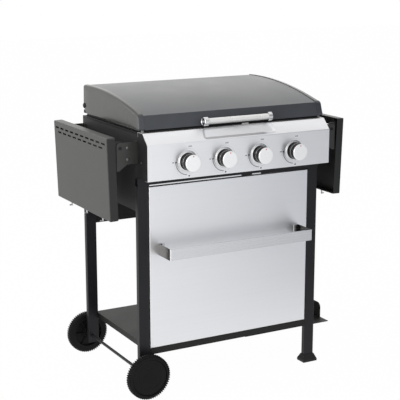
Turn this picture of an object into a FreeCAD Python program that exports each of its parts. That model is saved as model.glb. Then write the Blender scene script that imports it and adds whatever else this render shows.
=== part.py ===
"""Gas grill on a wheeled cart, in millimetres.

+X is to the right of someone who stands at the controls, +Y is to the back, +Z is up. The origin is on
the floor under the middle of the grill.
"""
import FreeCAD, Part
import Sketcher
import math
import os
from FreeCAD import Placement, Rotation, Vector

# Driving dimensions. Places are measured from the origin, everything else is a plain size.
SIZES = {
    # Legs, feet and rail
    "cart_half_width": 342.0,
    "cart_front": -188.0,
    "cart_depth": 438.0,
    "leg_width": 38.0,
    "leg_depth": 19.0,
    "leg_wall": 1.5,
    "leg_corner": 2.5,
    "leg_top": 700.0,
    "wheel_leg_bottom": 50.0,
    "foot_width": 56.0,
    "foot_depth": 42.0,
    "foot_rim_height": 8.0,
    "foot_height": 26.0,
    "foot_floor": 4.0,
    "foot_collar": 1.5,
    "rail_height": 27.0,
    "rail_wall": 1.5,
    # Axle and wheels
    "axle_radius": 5.0,
    "axle_inset": 15.0,
    "wheel_radius": 75.0,
    "wheel_width": 28.0,
    "wheel_gap": 18.0,
    "wheel_shoulder": 4.0,
    "rim_depth": 14.0,
    "web_thickness": 6.0,
    "web_setback": 8.0,
    "hub_radius": 17.0,
    "hub_setback": 5.0,
    "nut_well_radius": 10.5,
    "nut_well_depth": 9.0,
    "nut_radius": 8.0,
    "nut_height": 6.5,
    "spacer_wall": 4.0,
    "cover_thickness": 2.5,
    "cover_step": 1.5,
    "cover_ring_radius": 36.0,
    "running_gap": 0.05,
    "side_gap": 0.3,
    # Bottom shelf and bottle tray
    "deck_top": 158.0,
    "deck_sheet": 1.5,
    "deck_front_drop": 22.0,
    "deck_side_drop": 20.0,
    "bottle_tray_start": 60.0,
    "bottle_tray_overhang": 63.0,
    "bottle_tray_sheet": 2.0,
    "bottle_tray_setback": 1.0,
    "bottle_tab_height": 52.0,
    "bottle_tab_setback": 50.0,
    "bottle_tab_corner": 18.0,
    "notch_gap": 0.5,
    # Firebox
    "box_inset": 5.0,
    "wall_height": 145.0,
    "box_sheet": 1.5,
    "side_drop": 82.0,
    "side_flange": 10.0,
    "rear_drop": 214.0,
    "ledge_depth": 15.0,
    "grate_drop": 24.0,
    "ledge_end_gap": 39.5,
    # Front panel and its bar handle
    "door_gap": 2.0,
    "door_top_gap": 3.0,
    "door_sheet": 1.5,
    "door_return": 18.0,
    "door_bend": 2.0,
    "bar_inset": 32.0,
    "bar_rise": 312.0,
    "bar_height": 37.0,
    "bar_reach": 82.0,
    "bar_sheet": 3.0,
    "bar_foot": 20.0,
    "bar_bend": 5.0,
    # Control panel
    "panel_inset": 2.0,
    "panel_depth": 68.0,
    "panel_gap": 1.0,
    "panel_face_height": 114.0,
    "bevel_rise": 34.0,
    "bevel_depth": 34.0,
    "panel_sheet": 1.5,
    "panel_return": 20.0,
    "panel_lip": 14.0,
    "panel_bend": 2.0,
    "recess_half_width": 132.0,
    "recess_depth": 7.0,
    "recess_start": 6.0,
    "recess_corner": 16.0,
    "end_cap": 3.0,
    # Knobs, spindles and valves
    "knob_pitch": 133.0,
    "knob_rise": 54.0,
    "knob_reach": 40.0,
    "knob_gap": 1.0,
    "knob_travel": 4.0,
    "skirt_radius": 27.5,
    "skirt_depth": 5.0,
    "neck_radius": 26.0,
    "neck_depth": 22.0,
    "cap_radius": 27.0,
    "cap_round": 2.0,
    "knob_crown": 8.0,
    "bezel_radius": 35.0,
    "bezel_bore": 11.0,
    "bezel_thickness": 3.0,
    "spindle_radius": 4.0,
    "spindle_end_gap": 2.5,
    "spindle_hole": 10.0,
    "plug_radius": 9.0,
    "plug_length": 22.0,
    "plug_floor": 2.0,
    "valve_neck_radius": 12.0,
    "valve_neck_length": 9.0,
    "valve_width": 28.0,
    "valve_height": 28.0,
    "valve_length": 27.0,
    "orifice_radius": 4.0,
    "orifice_length": 10.0,
    # Gas pipe
    "pipe_radius": 8.0,
    "pipe_setback": 25.0,
    "pipe_drop": 32.0,
    "pipe_end": 32.5,
    "inlet_side_gap": 38.5,
    "pipe_boss": 18.0,
    "inlet_radius": 6.0,
    "inlet_block": 18.0,
    "inlet_run": 26.0,
    "spigot_radius": 5.0,
    "spigot_length": 26.0,
    # Burners, flame tamers, grates and grease tray
    "burner_radius": 12.5,
    "burner_wall": 1.2,
    "burner_mouth": 24.0,
    "burner_tail": 6.0,
    "hole_play": 0.2,
    "tamer_half_width": 45.0,
    "tamer_rise": 30.0,
    "tamer_drop": 42.0,
    "tamer_sheet": 1.5,
    "grate_half_gap": 2.0,
    "grate_side_gap": 19.5,
    "grate_height": 12.0,
    "grate_end_gap": 2.0,
    "grate_frame": 12.0,
    "grate_slot": 13.0,
    "grate_bar": 7.0,
    "tray_side_gap": 55.5,
    "tray_front_gap": 62.0,
    "tray_rise": 5.0,
    "tray_height": 22.0,
    "tray_sheet": 1.2,
    "tray_lift": 0.2,
    "tray_face_overlap": 10.0,
    "tray_face_sheet": 2.0,
    "tray_grip": 14.0,
    "slot_play": 2.5,
    "runner_reach": 15.0,
    "runner_height": 25.0,
    "runner_sheet": 1.5,
    # Lid
    "lid_gap": 11.0,
    "lid_overhang": 22.0,
    "lid_lean": 11.0,
    "lid_front_height": 46.0,
    "lid_back_inset": 8.0,
    "lid_back_height": 96.5,
    "lid_crown_radius": 1350.0,
    "lid_back_cut": 17.0,
    "lid_bottom_cut": 33.0,
    "lid_end": 13.0,
    "lid_end_skin": 2.0,
    "lid_end_wall": 3.0,
    "lid_seam": 1.5,
    "lid_end_round": 5.0,
    "lid_sheet": 1.5,
    "lid_rear_round": 10.0,
    "hinge_inset": 14.0,
    "hinge_rise": 26.0,
    "hinge_bolt_radius": 4.0,
    "hinge_head_radius": 8.0,
    "hinge_head": 4.0,
    "hinge_plate": 3.0,
    "hinge_gap": 0.5,
    "hinge_neck": 10.0,
    "hinge_depth": 36.0,
    "hinge_flange": 11.0,
    "hinge_slot": 34.0,
    "hinge_boss": 25.0,
    "handle_radius": 9.8,
    "handle_half_length": 125.5,
    "handle_setback": 15.0,
    "handle_rise": 15.0,
    "collar_radius": 14.4,
    "collar_length": 13.0,
    "post_radius": 4.9,
    "buffer_radius": 5.0,
    "buffer_inset": 7.0,
    "buffer_setback": 8.0,
    "buffer_gap": 0.2,
    # Side shelves
    "shelf_pivot_gap": 63.0,
    "shelf_pivot_drop": 43.0,
    "shelf_tilt": 1.8,
    "shelf_reach": 46.0,
    "shelf_above": 36.0,
    "shelf_below": 229.0,
    "shelf_depth": 28.0,
    "shelf_overhang": 2.0,
    "shelf_length": 435.0,
    "shelf_sheet": 1.5,
    "shelf_round": 3.0,
    "slot_length": 28.0,
    "slot_height": 5.6,
    "slot_pitch": 42.0,
    "slot_top": 16.0,
    "slot_row": 14.5,
    "ear_sheet": 2.5,
    "ear_setback": 6.2,
    "ear_reach": 14.0,
    "ear_half_height": 20.0,
    "ear_root": 28.0,
    "ear_corner": 10.0,
    "bracket_sheet": 2.5,
    "bracket_gap": 0.3,
    "bracket_above": 17.5,
    "bracket_below": 53.0,
    "bracket_tail": 72.0,
    "bracket_nose": 12.0,
    "bracket_tail_width": 8.0,
    "bracket_corner": 10.0,
    "bracket_flange": 20.0,
    "pivot_bolt_radius": 4.0,
    "pivot_head_radius": 5.0,
    "pivot_head": 2.0,
    "bolt_head_radius": 5.0,
    "bolt_head_top": 3.2,
    "bolt_head": 2.5,
    "bolt_inset": 37.0,
    "bolt_spacing": 37.0,
    "hook_radius": 2.5,
    "hook_drop": 17.0,
    "hook_tip": 9.0,
    "hook_tip_radius": 2.2,
    "hook_pitch": 128.0,
}
KNOB_COUNT = 4
SLOTS_IN_TOP_ROW = 10
GRATE_SLOT_RUNS = 3
HOOK_COUNT = 3


class Size:
    """A size worked out from the sheet: its expression for the document, and its present value."""

    def __init__(self, text, value):
        self.text = text
        self.value = value

    def __add__(self, other):
        other = sized(other)
        return Size(f"({self.text} + {other.text})", self.value + other.value)

    def __sub__(self, other):
        other = sized(other)
        return Size(f"({self.text} - {other.text})", self.value - other.value)

    def __mul__(self, other):
        other = sized(other)
        return Size(f"({self.text} * {other.text})", self.value * other.value)

    def __truediv__(self, other):
        other = sized(other)
        return Size(f"({self.text} / {other.text})", self.value / other.value)

    def __radd__(self, other):
        return sized(other) + self

    def __rsub__(self, other):
        return sized(other) - self

    def __rmul__(self, other):
        return sized(other) * self

    def __neg__(self):
        return Size(f"(-1 * {self.text})", -self.value)


def sized(thing):
    """A plain number as a Size; a Size as it is."""
    return thing if isinstance(thing, Size) else Size(f"({thing})", thing)


class Sheet:
    """The document's sheet of driving dimensions. sheet.leg_width is the Size of that cell."""

    def __init__(self, document, sizes):
        cells = document.addObject("Spreadsheet::Sheet", "Sizes")
        for row, (alias, number) in enumerate(sizes.items(), start=1):
            cells.set(f"A{row}", alias)
            cells.set(f"B{row}", str(number))
            cells.setAlias(f"B{row}", alias)
        document.recompute()
        for alias in sizes:
            setattr(self, alias, Size(f"Sizes.{alias}", float(cells.get(alias))))


doc = FreeCAD.newDocument("GasGrill")
s = Sheet(doc, SIZES)
nodes = []


def bind(thing, name, size):
    """Tie one property of a document object to the sheet."""
    thing.setExpression(name, sized(size).text)


def put(thing, x, y, z, axis=Vector(0, 0, 1), angle=0.0):
    """Turn an object about an axis through its own origin, and place that origin."""
    thing.Placement = Placement(Vector(0, 0, 0), Rotation(axis, angle))
    for name, size in (("x", x), ("y", y), ("z", z)):
        bind(thing, f"Placement.Base.{name}", size)
    return thing


def keep(thing, label):
    """Name an object as one sub-part of the grill."""
    thing.Label = label
    nodes.append(thing)
    return thing


# Solids from sketches


def rectangle(u_low, v_low, u_high, v_high):
    return [(u_low, v_low), (u_high, v_low), (u_high, v_high), (u_low, v_high)]


def arc_through(start, end, radius, turn):
    """The arc of under half a circle from start to end; turn is +1 anticlockwise, -1 clockwise."""
    chord = end - start
    rise = math.sqrt(radius * radius - chord.Length * chord.Length / 4)
    side = Vector(-chord.y, chord.x, 0).normalize()
    centre = (start + end) / 2 + side * rise * turn
    middle = centre - side * radius * turn
    return Part.Arc(start, middle, end)


def add_loop(sketch, points):
    """Draw a closed outline. A point is (u, v), or (u, v, radius, turn) where an arc leads to the next."""
    first = sketch.GeometryCount
    count = len(points)
    places = [Vector(sized(p[0]).value, sized(p[1]).value, 0) for p in points]
    ends = []
    for i, point in enumerate(points):
        start = places[i]
        end = places[(i + 1) % count]
        if len(point) == 2:
            sketch.addGeometry(Part.LineSegment(start, end), False)
            ends.append((1, 2))
        else:
            sketch.addGeometry(arc_through(start, end, point[2].value, point[3]), False)
            ends.append((1, 2) if point[3] > 0 else (2, 1))
    for i in range(count):
        following = (i + 1) % count
        join = ("Coincident", first + i, ends[i][1], first + following, ends[following][0])
        sketch.addConstraint(Sketcher.Constraint(*join))
    for i, point in enumerate(points):
        for kind, size in (("DistanceX", point[0]), ("DistanceY", point[1])):
            tie = Sketcher.Constraint(kind, -1, 1, first + i, ends[i][0], sized(size).value)
            bind(sketch, f"Constraints[{sketch.addConstraint(tie)}]", size)
        if len(point) == 4:
            tie = Sketcher.Constraint("Radius", first + i, point[2].value)
            bind(sketch, f"Constraints[{sketch.addConstraint(tie)}]", point[2])


def add_circle(sketch, u, v, radius):
    centre = Vector(sized(u).value, sized(v).value, 0)
    circle = sketch.addGeometry(Part.Circle(centre, Vector(0, 0, 1), sized(radius).value), False)
    ties = [
        (Sketcher.Constraint("DistanceX", -1, 1, circle, 3, sized(u).value), u),
        (Sketcher.Constraint("DistanceY", -1, 1, circle, 3, sized(v).value), v),
        (Sketcher.Constraint("Radius", circle, sized(radius).value), radius),
    ]
    for tie, size in ties:
        bind(sketch, f"Constraints[{sketch.addConstraint(tie)}]", size)


def add_sketch(body, role, offset, loops, circles):
    """A sketch on one of the body's own origin planes, moved along that plane's normal."""
    sketch = body.newObject("Sketcher::SketchObject", f"{body.Name}Sketch")
    plane = next(f for f in body.Origin.OriginFeatures if f.Role == role)
    sketch.AttachmentSupport = [(plane, "")]
    sketch.MapMode = "FlatFace"
    bind(sketch, "AttachmentOffset.Base.z", offset)
    for loop in loops:
        add_loop(sketch, loop)
    for circle in circles:
        add_circle(sketch, *circle)
    return sketch


def new_body(name):
    return doc.addObject("PartDesign::Body", name)


def add(body, role, low, high, loops, circles=()):
    """Pad an outline so that it fills the stretch from low to high along the plane's axis."""
    offset = -sized(high) if role == "XZ_Plane" else low
    sketch = add_sketch(body, role, offset, loops, circles)
    pad = body.newObject("PartDesign::Pad", f"{body.Name}Pad")
    pad.Profile = sketch
    bind(pad, "Length", sized(high) - low)
    return pad


def cut_away(body, role, low, high, loops, circles=()):
    """Pocket an outline from low to high along the plane's axis, and make sure that it cut something."""
    doc.recompute()
    before = body.Shape.Volume
    offset = -sized(low) if role == "XZ_Plane" else high
    sketch = add_sketch(body, role, offset, loops, circles)
    pocket = body.newObject("PartDesign::Pocket", f"{body.Name}Pocket")
    pocket.Profile = sketch
    bind(pocket, "Length", sized(high) - low)
    doc.recompute()
    if not body.Shape.Volume < before:
        raise RuntimeError(f"{body.Name}: a pocket cut nothing")
    return pocket


def repeat(body, feature, length, count):
    """Repeat a feature along its sketch's horizontal axis."""
    pattern = body.newObject("PartDesign::LinearPattern", f"{body.Name}Pattern")
    pattern.Originals = [feature]
    pattern.Direction = (feature.Profile[0], ["H_Axis"])
    bind(pattern, "Length", length)
    pattern.Occurrences = count
    body.Tip = pattern


def round_edges(body, radius, chosen):
    """Fillet the edges for which chosen(edge) is true."""
    doc.recompute()
    tip = body.Tip
    names = [f"Edge{i}" for i, edge in enumerate(tip.Shape.Edges, start=1) if chosen(edge)]
    fillet = body.newObject("PartDesign::Fillet", f"{body.Name}Fillet")
    fillet.Base = (tip, names)
    bind(fillet, "Radius", radius)
    doc.recompute()


def along(edge, axis):
    """Whether an edge is straight and runs along the x, y or z axis."""
    box = edge.BoundBox
    spans = {"x": box.XLength, "y": box.YLength, "z": box.ZLength}
    return spans[axis] > 1e-4 and all(spans[other] < 1e-4 for other in spans if other != axis)


def near(value, size):
    return abs(value - sized(size).value) < 0.01


def spun(name, points):
    """A turned piece: an outline of (radius, distance along Y) points, revolved about the Y axis."""
    body = new_body(name)
    sketch = add_sketch(body, "XY_Plane", sized(0.0), [points], [])
    turn = body.newObject("PartDesign::Revolution", f"{name}Turn")
    turn.Profile = sketch
    turn.ReferenceAxis = (sketch, ["V_Axis"])
    return body


# Solids from primitives


def block(name, low, high):
    """A box between two corners."""
    box = doc.addObject("Part::Box", name)
    for prop, i in (("Length", 0), ("Width", 1), ("Height", 2)):
        bind(box, prop, sized(high[i]) - low[i])
    return put(box, *low)


TURNS = {"x": (Vector(0, 1, 0), 90.0), "y": (Vector(-1, 0, 0), 90.0), "z": (Vector(0, 0, 1), 0.0)}


def rod(name, axis, start, radius, length):
    """A cylinder that starts at a point and runs along +x, +y or +z."""
    cylinder = doc.addObject("Part::Cylinder", name)
    bind(cylinder, "Radius", radius)
    bind(cylinder, "Height", length)
    return put(cylinder, *start, *TURNS[axis])


def join(name, pieces):
    fused = doc.addObject("Part::MultiFuse", name)
    fused.Shapes = pieces
    return fused


def without(name, base, tools):
    """The base with the tools cut out of it."""
    cut = doc.addObject("Part::Cut", name)
    cut.Base = base
    cut.Tool = tools[0] if len(tools) == 1 else join(f"{name}Tools", tools)
    return cut


def group(label, pieces):
    """Separate solids that share one node."""
    compound = doc.addObject("Part::Compound", label)
    compound.Links = pieces
    return keep(compound, label)


# Places that several pieces share
cart_rear = s.cart_front + s.cart_depth
front_leg_back = s.cart_front + s.leg_depth
rear_leg_front = cart_rear - s.leg_depth
leg_inner = s.cart_half_width - s.leg_width
rail_top = s.leg_top + s.rail_height
axle_x = s.axle_inset - s.cart_half_width
panel_front = s.cart_front - s.panel_depth
panel_half_width = s.cart_half_width - s.panel_inset
panel_bottom = rail_top + s.panel_gap
knob_height = panel_bottom + s.knob_rise
wall_back = s.cart_front + s.box_sheet
box_half_width = s.cart_half_width - s.box_inset
box_inner = box_half_width - s.box_sheet
box_top = rail_top + s.wall_height
ledge_top = box_top - s.grate_drop
ledge_half_width = box_inner - s.ledge_end_gap
runner_top = s.leg_top + s.tray_rise
tray_half_width = box_inner - s.tray_side_gap
lid_half_width = box_half_width
lid_bottom = box_top + s.lid_gap
lid_front = s.cart_front - s.lid_overhang
lid_back = cart_rear - s.lid_back_inset
shelf_pivot_reach = box_half_width + s.shelf_pivot_gap
shelf_pivot_height = box_top - s.shelf_pivot_drop
shelf_front = s.cart_front - s.shelf_overhang
knob_places = [s.knob_pitch * (i - (KNOB_COUNT - 1) / 2) for i in range(KNOB_COUNT)]


# Legs: rectangular steel tube. The left pair is shorter and drilled for the axle.

for side, x_low in (("left", -s.cart_half_width), ("right", leg_inner)):
    for end, y_low in (("front", s.cart_front), ("rear", rear_leg_front)):
        label = f"leg_{end}_{side}"
        leg = new_body(label)
        x_high = x_low + s.leg_width
        y_high = y_low + s.leg_depth
        bottom = s.wheel_leg_bottom if side == "left" else s.foot_floor
        hollow = rectangle(x_low + s.leg_wall, y_low + s.leg_wall, x_high - s.leg_wall, y_high - s.leg_wall)
        add(leg, "XY_Plane", bottom, s.leg_top, [rectangle(x_low, y_low, x_high, y_high), hollow])
        corners = [x_low.value, x_high.value]
        round_edges(
            leg, s.leg_corner,
            lambda e: along(e, "z") and any(near(e.BoundBox.XMin, c) for c in corners),
        )
        if side == "left":
            hole = (axle_x, s.wheel_radius, s.axle_radius + s.running_gap)
            cut_away(leg, "XZ_Plane", y_low, y_high, [], [hole])
        keep(leg, label)


# Feet: moulded caps on the right legs, a low rim and then a flare up to a collar round the tube.

def foot(name, y_middle):
    x_middle = s.cart_half_width - s.leg_width / 2

    def ring(width, depth):
        return rectangle(-width / 2, -depth / 2, width / 2, depth / 2)

    body = new_body(name)
    add(body, "XY_Plane", sized(0.0), s.foot_rim_height, [ring(s.foot_width, s.foot_depth)])
    collar = ring(s.leg_width + 2 * s.foot_collar, s.leg_depth + 2 * s.foot_collar)
    low = add_sketch(body, "XY_Plane", s.foot_rim_height, [ring(s.foot_width, s.foot_depth)], [])
    high = add_sketch(body, "XY_Plane", s.foot_height, [collar], [])
    flare = body.newObject("PartDesign::AdditiveLoft", f"{name}Flare")
    flare.Profile = low
    flare.Sections = [high]
    flare.Ruled = True
    cut_away(body, "XY_Plane", s.foot_floor, s.foot_height, [ring(s.leg_width, s.leg_depth)])
    return put(body, x_middle, y_middle, sized(0.0))


group("feet", [
    foot("FootFront", s.cart_front + s.leg_depth / 2),
    foot("FootRear", cart_rear - s.leg_depth / 2),
])


# Axle, spacers and nuts. The nuts sit in wells in the wheels, under the covers.

front_wheel_inner = s.cart_front - s.wheel_gap
rear_wheel_inner = cart_rear + s.wheel_gap
well_floor = s.wheel_width - s.hub_setback - s.nut_well_depth
nut_start = well_floor + s.side_gap
axle_end = nut_start + s.nut_height
axle_length = rear_wheel_inner - front_wheel_inner + 2 * axle_end
axle_start = (axle_x, front_wheel_inner - axle_end, s.wheel_radius)
keep(rod("Axle", "y", axle_start, s.axle_radius, axle_length), "axle")


def sleeve(name, y_low, length, bore, outer):
    start = (axle_x, y_low, s.wheel_radius)
    solid = rod(f"{name}Outer", "y", start, outer, length)
    return without(name, solid, [rod(f"{name}Bore", "y", start, bore, length)])


spacer_length = s.wheel_gap - s.side_gap
spacer_bore = s.axle_radius + s.running_gap
spacer_outer = s.axle_radius + s.spacer_wall
group("axle_spacers", [
    sleeve("SpacerFront", s.cart_front - spacer_length, spacer_length, spacer_bore, spacer_outer),
    sleeve("SpacerRear", cart_rear, spacer_length, spacer_bore, spacer_outer),
])
group("axle_nuts", [
    sleeve("NutFront", front_wheel_inner - axle_end, s.nut_height, s.axle_radius, s.nut_radius),
    sleeve("NutRear", rear_wheel_inner + nut_start, s.nut_height, s.axle_radius, s.nut_radius),
])


# Wheels: a moulded rim, a web and a hub with a well for the nut, and a pressed disc cover outside.

for end, inner, way in (("front", front_wheel_inner, -1), ("rear", rear_wheel_inner, 1)):
    rim = s.wheel_radius - s.rim_depth
    bore = s.axle_radius + s.running_gap
    hub_end = s.wheel_width - s.hub_setback
    web_out = hub_end - s.web_setback
    web_in = web_out - s.web_thickness
    profile = [
        (bore, sized(0.0)), (s.hub_radius, sized(0.0)), (s.hub_radius, web_in), (rim, web_in),
        (rim, sized(0.0)), (s.wheel_radius - s.wheel_shoulder, sized(0.0)),
        (s.wheel_radius, s.wheel_shoulder), (s.wheel_radius, s.wheel_width - s.wheel_shoulder),
        (s.wheel_radius - s.wheel_shoulder, s.wheel_width), (rim, s.wheel_width), (rim, web_out),
        (s.hub_radius, web_out), (s.hub_radius, hub_end), (s.nut_well_radius, hub_end),
        (s.nut_well_radius, well_floor), (bore, well_floor),
    ]
    wheel = spun(f"wheel_{end}", [(radius, distance * way) for radius, distance in profile])
    keep(put(wheel, axle_x, inner, s.wheel_radius), f"wheel_{end}")
    cover_edge = rim - s.side_gap
    cover_out = hub_end + s.cover_thickness
    dish = [
        (sized(0.0), hub_end), (cover_edge, hub_end), (cover_edge, cover_out),
        (s.cover_ring_radius, cover_out + s.cover_step), (sized(0.0), cover_out + s.cover_step),
    ]
    cover = spun(f"wheel_cover_{end}", [(radius, distance * way) for radius, distance in dish])
    keep(put(cover, axle_x, inner, s.wheel_radius), f"wheel_cover_{end}")


# Bottom shelf: a sheet with its four edges turned down, between the legs.

deck_bottom = s.deck_top - s.deck_front_drop
deck_left = -leg_inner
shelf_box = block("Deck", (deck_left, s.cart_front, deck_bottom), (leg_inner, cart_rear, s.deck_top))
hollow_low = (deck_left + s.deck_sheet, s.cart_front + s.deck_sheet, deck_bottom)
hollow_high = (leg_inner - s.deck_sheet, cart_rear - s.deck_sheet, s.deck_top - s.deck_sheet)
trim_bottom = s.deck_top - s.deck_side_drop
trims = [
    block("DeckTrimLeft", (deck_left, front_leg_back, deck_bottom),
          (deck_left + s.deck_sheet, rear_leg_front, trim_bottom)),
    block("DeckTrimRight", (leg_inner - s.deck_sheet, front_leg_back, deck_bottom),
          (leg_inner, rear_leg_front, trim_bottom)),
]
deck_hollow = block("DeckHollow", hollow_low, hollow_high)
keep(without("bottom_shelf", shelf_box, [deck_hollow] + trims), "bottom_shelf")


# Bottle tray: a plate under the shelf, notched round the right legs, with an upright tab outside.

tray_front = s.cart_front + s.bottle_tray_setback
tray_rear = cart_rear - s.bottle_tray_setback
notch_in = leg_inner - s.notch_gap
notch_out = s.cart_half_width + s.notch_gap
notch_front = front_leg_back + s.notch_gap
notch_rear = rear_leg_front - s.notch_gap
plate_bottom = deck_bottom - s.bottle_tray_sheet
bottle_tray_reach = s.cart_half_width + s.bottle_tray_overhang
bottle_tray = new_body("bottle_tray")
add(bottle_tray, "XY_Plane", plate_bottom, deck_bottom, [[
    (s.bottle_tray_start, tray_front), (notch_in, tray_front), (notch_in, notch_front),
    (notch_out, notch_front), (notch_out, tray_front), (bottle_tray_reach, tray_front),
    (bottle_tray_reach, tray_rear), (notch_out, tray_rear), (notch_out, notch_rear),
    (notch_in, notch_rear), (notch_in, tray_rear), (s.bottle_tray_start, tray_rear),
]])
tab_front = s.cart_front + s.bottle_tab_setback
tab_rear = cart_rear - s.bottle_tab_setback
tab_top = deck_bottom + s.bottle_tab_height
add(bottle_tray, "YZ_Plane", bottle_tray_reach - s.bottle_tray_sheet, bottle_tray_reach, [[
    (tab_front, plate_bottom), (tab_rear, plate_bottom),
    (tab_rear, tab_top - s.bottle_tab_corner, s.bottle_tab_corner, 1),
    (tab_rear - s.bottle_tab_corner, tab_top),
    (tab_front + s.bottle_tab_corner, tab_top, s.bottle_tab_corner, 1),
    (tab_front, tab_top - s.bottle_tab_corner),
]])
keep(bottle_tray, "bottle_tray")


# Front rail: a tube across the tops of the front legs.

rail = new_body("front_rail")
rail_hollow = rectangle(s.cart_front + s.rail_wall, s.leg_top + s.rail_wall,
                        front_leg_back - s.rail_wall, rail_top - s.rail_wall)
add(rail, "YZ_Plane", -s.cart_half_width, s.cart_half_width,
    [rectangle(s.cart_front, s.leg_top, front_leg_back, rail_top), rail_hollow])
keep(rail, "front_rail")


# Firebox sides: sheets that stand on the rail and the rear legs, with a tongue down between the legs.

side_bottom = s.leg_top - s.side_drop
for side, way in (("left", -1), ("right", 1)):
    low, high = sorted((box_half_width * way, box_inner * way), key=lambda size: size.value)
    panel = new_body(f"side_panel_{side}")
    add(panel, "YZ_Plane", low, high, [[
        (front_leg_back, side_bottom), (rear_leg_front, side_bottom), (rear_leg_front, s.leg_top),
        (cart_rear, s.leg_top), (cart_rear, box_top), (s.cart_front, box_top),
        (s.cart_front, rail_top), (front_leg_back, rail_top),
    ]])
    flange_edge = (box_half_width - s.side_flange) * way
    low, high = sorted((box_half_width * way, flange_edge), key=lambda size: size.value)
    add(panel, "XY_Plane", box_top - s.box_sheet, box_top,
        [rectangle(low, wall_back, high, cart_rear)])
    keep(panel, f"side_panel_{side}")


# Rear panel: a sheet on the rear legs, with a slot for the grease tray and a ledge for the grates.

tray_bottom = runner_top + s.tray_lift
slot_side = tray_half_width + s.slot_play
slot_low = runner_top - s.slot_play
slot_high = tray_bottom + s.tray_height + s.slot_play
rear_outer = cart_rear + s.box_sheet
rear_bottom = s.leg_top - s.rear_drop
rear_panel = new_body("rear_panel")
add(rear_panel, "XZ_Plane", cart_rear, rear_outer, [
    rectangle(-box_half_width, rear_bottom, box_half_width, box_top),
    rectangle(-slot_side, slot_low, slot_side, slot_high),
])
ledge_low = ledge_top - s.box_sheet
add(rear_panel, "XY_Plane", ledge_low, ledge_top,
    [rectangle(-ledge_half_width, cart_rear - s.ledge_depth, ledge_half_width, cart_rear)])
keep(rear_panel, "rear_panel")


# Front wall of the firebox: holes for the burners, and a ledge for the grates.

front_wall = new_body("front_wall")
burner_holes = [(x, knob_height, s.burner_radius + s.hole_play) for x in knob_places]
add(front_wall, "XZ_Plane", s.cart_front, wall_back,
    [rectangle(-box_inner, rail_top, box_inner, box_top)], burner_holes)
add(front_wall, "XY_Plane", ledge_low, ledge_top,
    [rectangle(-ledge_half_width, wall_back, ledge_half_width, wall_back + s.ledge_depth)])
keep(front_wall, "front_wall")


# Front panel: a stainless pan that stands on the shelf between the front legs.

door_side = leg_inner - s.door_gap
door_inner = s.cart_front + s.door_sheet
door_top = s.leg_top - s.door_top_gap
door = new_body("front_panel")
add(door, "XZ_Plane", s.cart_front, s.cart_front + s.door_return,
    [rectangle(-door_side, s.deck_top, door_side, door_top)])
cut_away(door, "XZ_Plane", door_inner, s.cart_front + s.door_return,
         [rectangle(-door_side + s.door_sheet, s.deck_top + s.door_sheet,
                    door_side - s.door_sheet, door_top - s.door_sheet)])


def on_door_face(edge):
    box = edge.BoundBox
    return near(box.YMin, s.cart_front) and near(box.YMax, s.cart_front)


round_edges(door, s.door_bend, on_door_face)
keep(door, "front_panel")


# Bar handle: one flat strap bent back at both ends, with feet turned in on the front panel.

bar_front = s.cart_front - s.bar_reach
bar_half_width = door_side - s.bar_inset
bar_bottom = s.deck_top + s.bar_rise
bar_in = bar_half_width - s.bar_sheet
foot_end = bar_half_width - s.bar_foot
foot_face = s.cart_front - s.bar_sheet
bar = new_body("panel_handle")
add(bar, "XY_Plane", bar_bottom, bar_bottom + s.bar_height, [[
    (-bar_half_width, bar_front), (bar_half_width, bar_front), (bar_half_width, s.cart_front),
    (foot_end, s.cart_front), (foot_end, foot_face), (bar_in, foot_face), (bar_in, bar_front + s.bar_sheet),
    (-bar_in, bar_front + s.bar_sheet), (-bar_in, foot_face), (-foot_end, foot_face),
    (-foot_end, s.cart_front), (-bar_half_width, s.cart_front),
]])
round_edges(bar, s.bar_bend, lambda e: along(e, "z") and near(e.BoundBox.YMin, bar_front))
keep(bar, "panel_handle")


# Control panel: one folded sheet with a sloping top, a finger recess in the slope and spindle holes.

face_top = panel_bottom + s.panel_face_height
panel_top = face_top + s.bevel_rise
bevel_back = panel_front + s.bevel_depth
sheet = s.panel_sheet
lip_front = s.cart_front - sheet
inner_face = panel_front + sheet
folded = new_body("PanelSheet")
add(folded, "YZ_Plane", -panel_half_width, panel_half_width, [[
    (panel_front, panel_bottom), (panel_front + s.panel_return, panel_bottom),
    (panel_front + s.panel_return, panel_bottom + sheet), (inner_face, panel_bottom + sheet),
    (inner_face, face_top - sheet), (bevel_back + sheet, panel_top - sheet), (lip_front, panel_top - sheet),
    (lip_front, panel_top - s.panel_lip), (s.cart_front, panel_top - s.panel_lip),
    (s.cart_front, panel_top), (bevel_back, panel_top), (panel_front, face_top),
]])
outer_bends = [(panel_front, panel_bottom), (panel_front, face_top), (bevel_back, panel_top)]


def on_outer_bend(edge):
    box = edge.BoundBox
    return along(edge, "x") and any(near(box.YMin, y) and near(box.ZMin, z) for y, z in outer_bends)


round_edges(folded, s.panel_bend, on_outer_bend)
slope = math.atan2(s.bevel_rise.value, s.bevel_depth.value)
slope_length = math.hypot(s.bevel_rise.value, s.bevel_depth.value)
slope_turn = (Vector(1, 0, 0), math.degrees(slope) - 90.0)


def in_slope(name, half_width, start, depth, end):
    """A block sunk square into the slope, from start to end along it."""
    box = doc.addObject("Part::Box", name)
    bind(box, "Length", 2 * half_width)
    bind(box, "Width", depth)
    bind(box, "Height", end - start)
    y = panel_front + start * math.cos(slope)
    z = face_top + start * math.sin(slope)
    return put(box, -half_width, y, z, *slope_turn)


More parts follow.
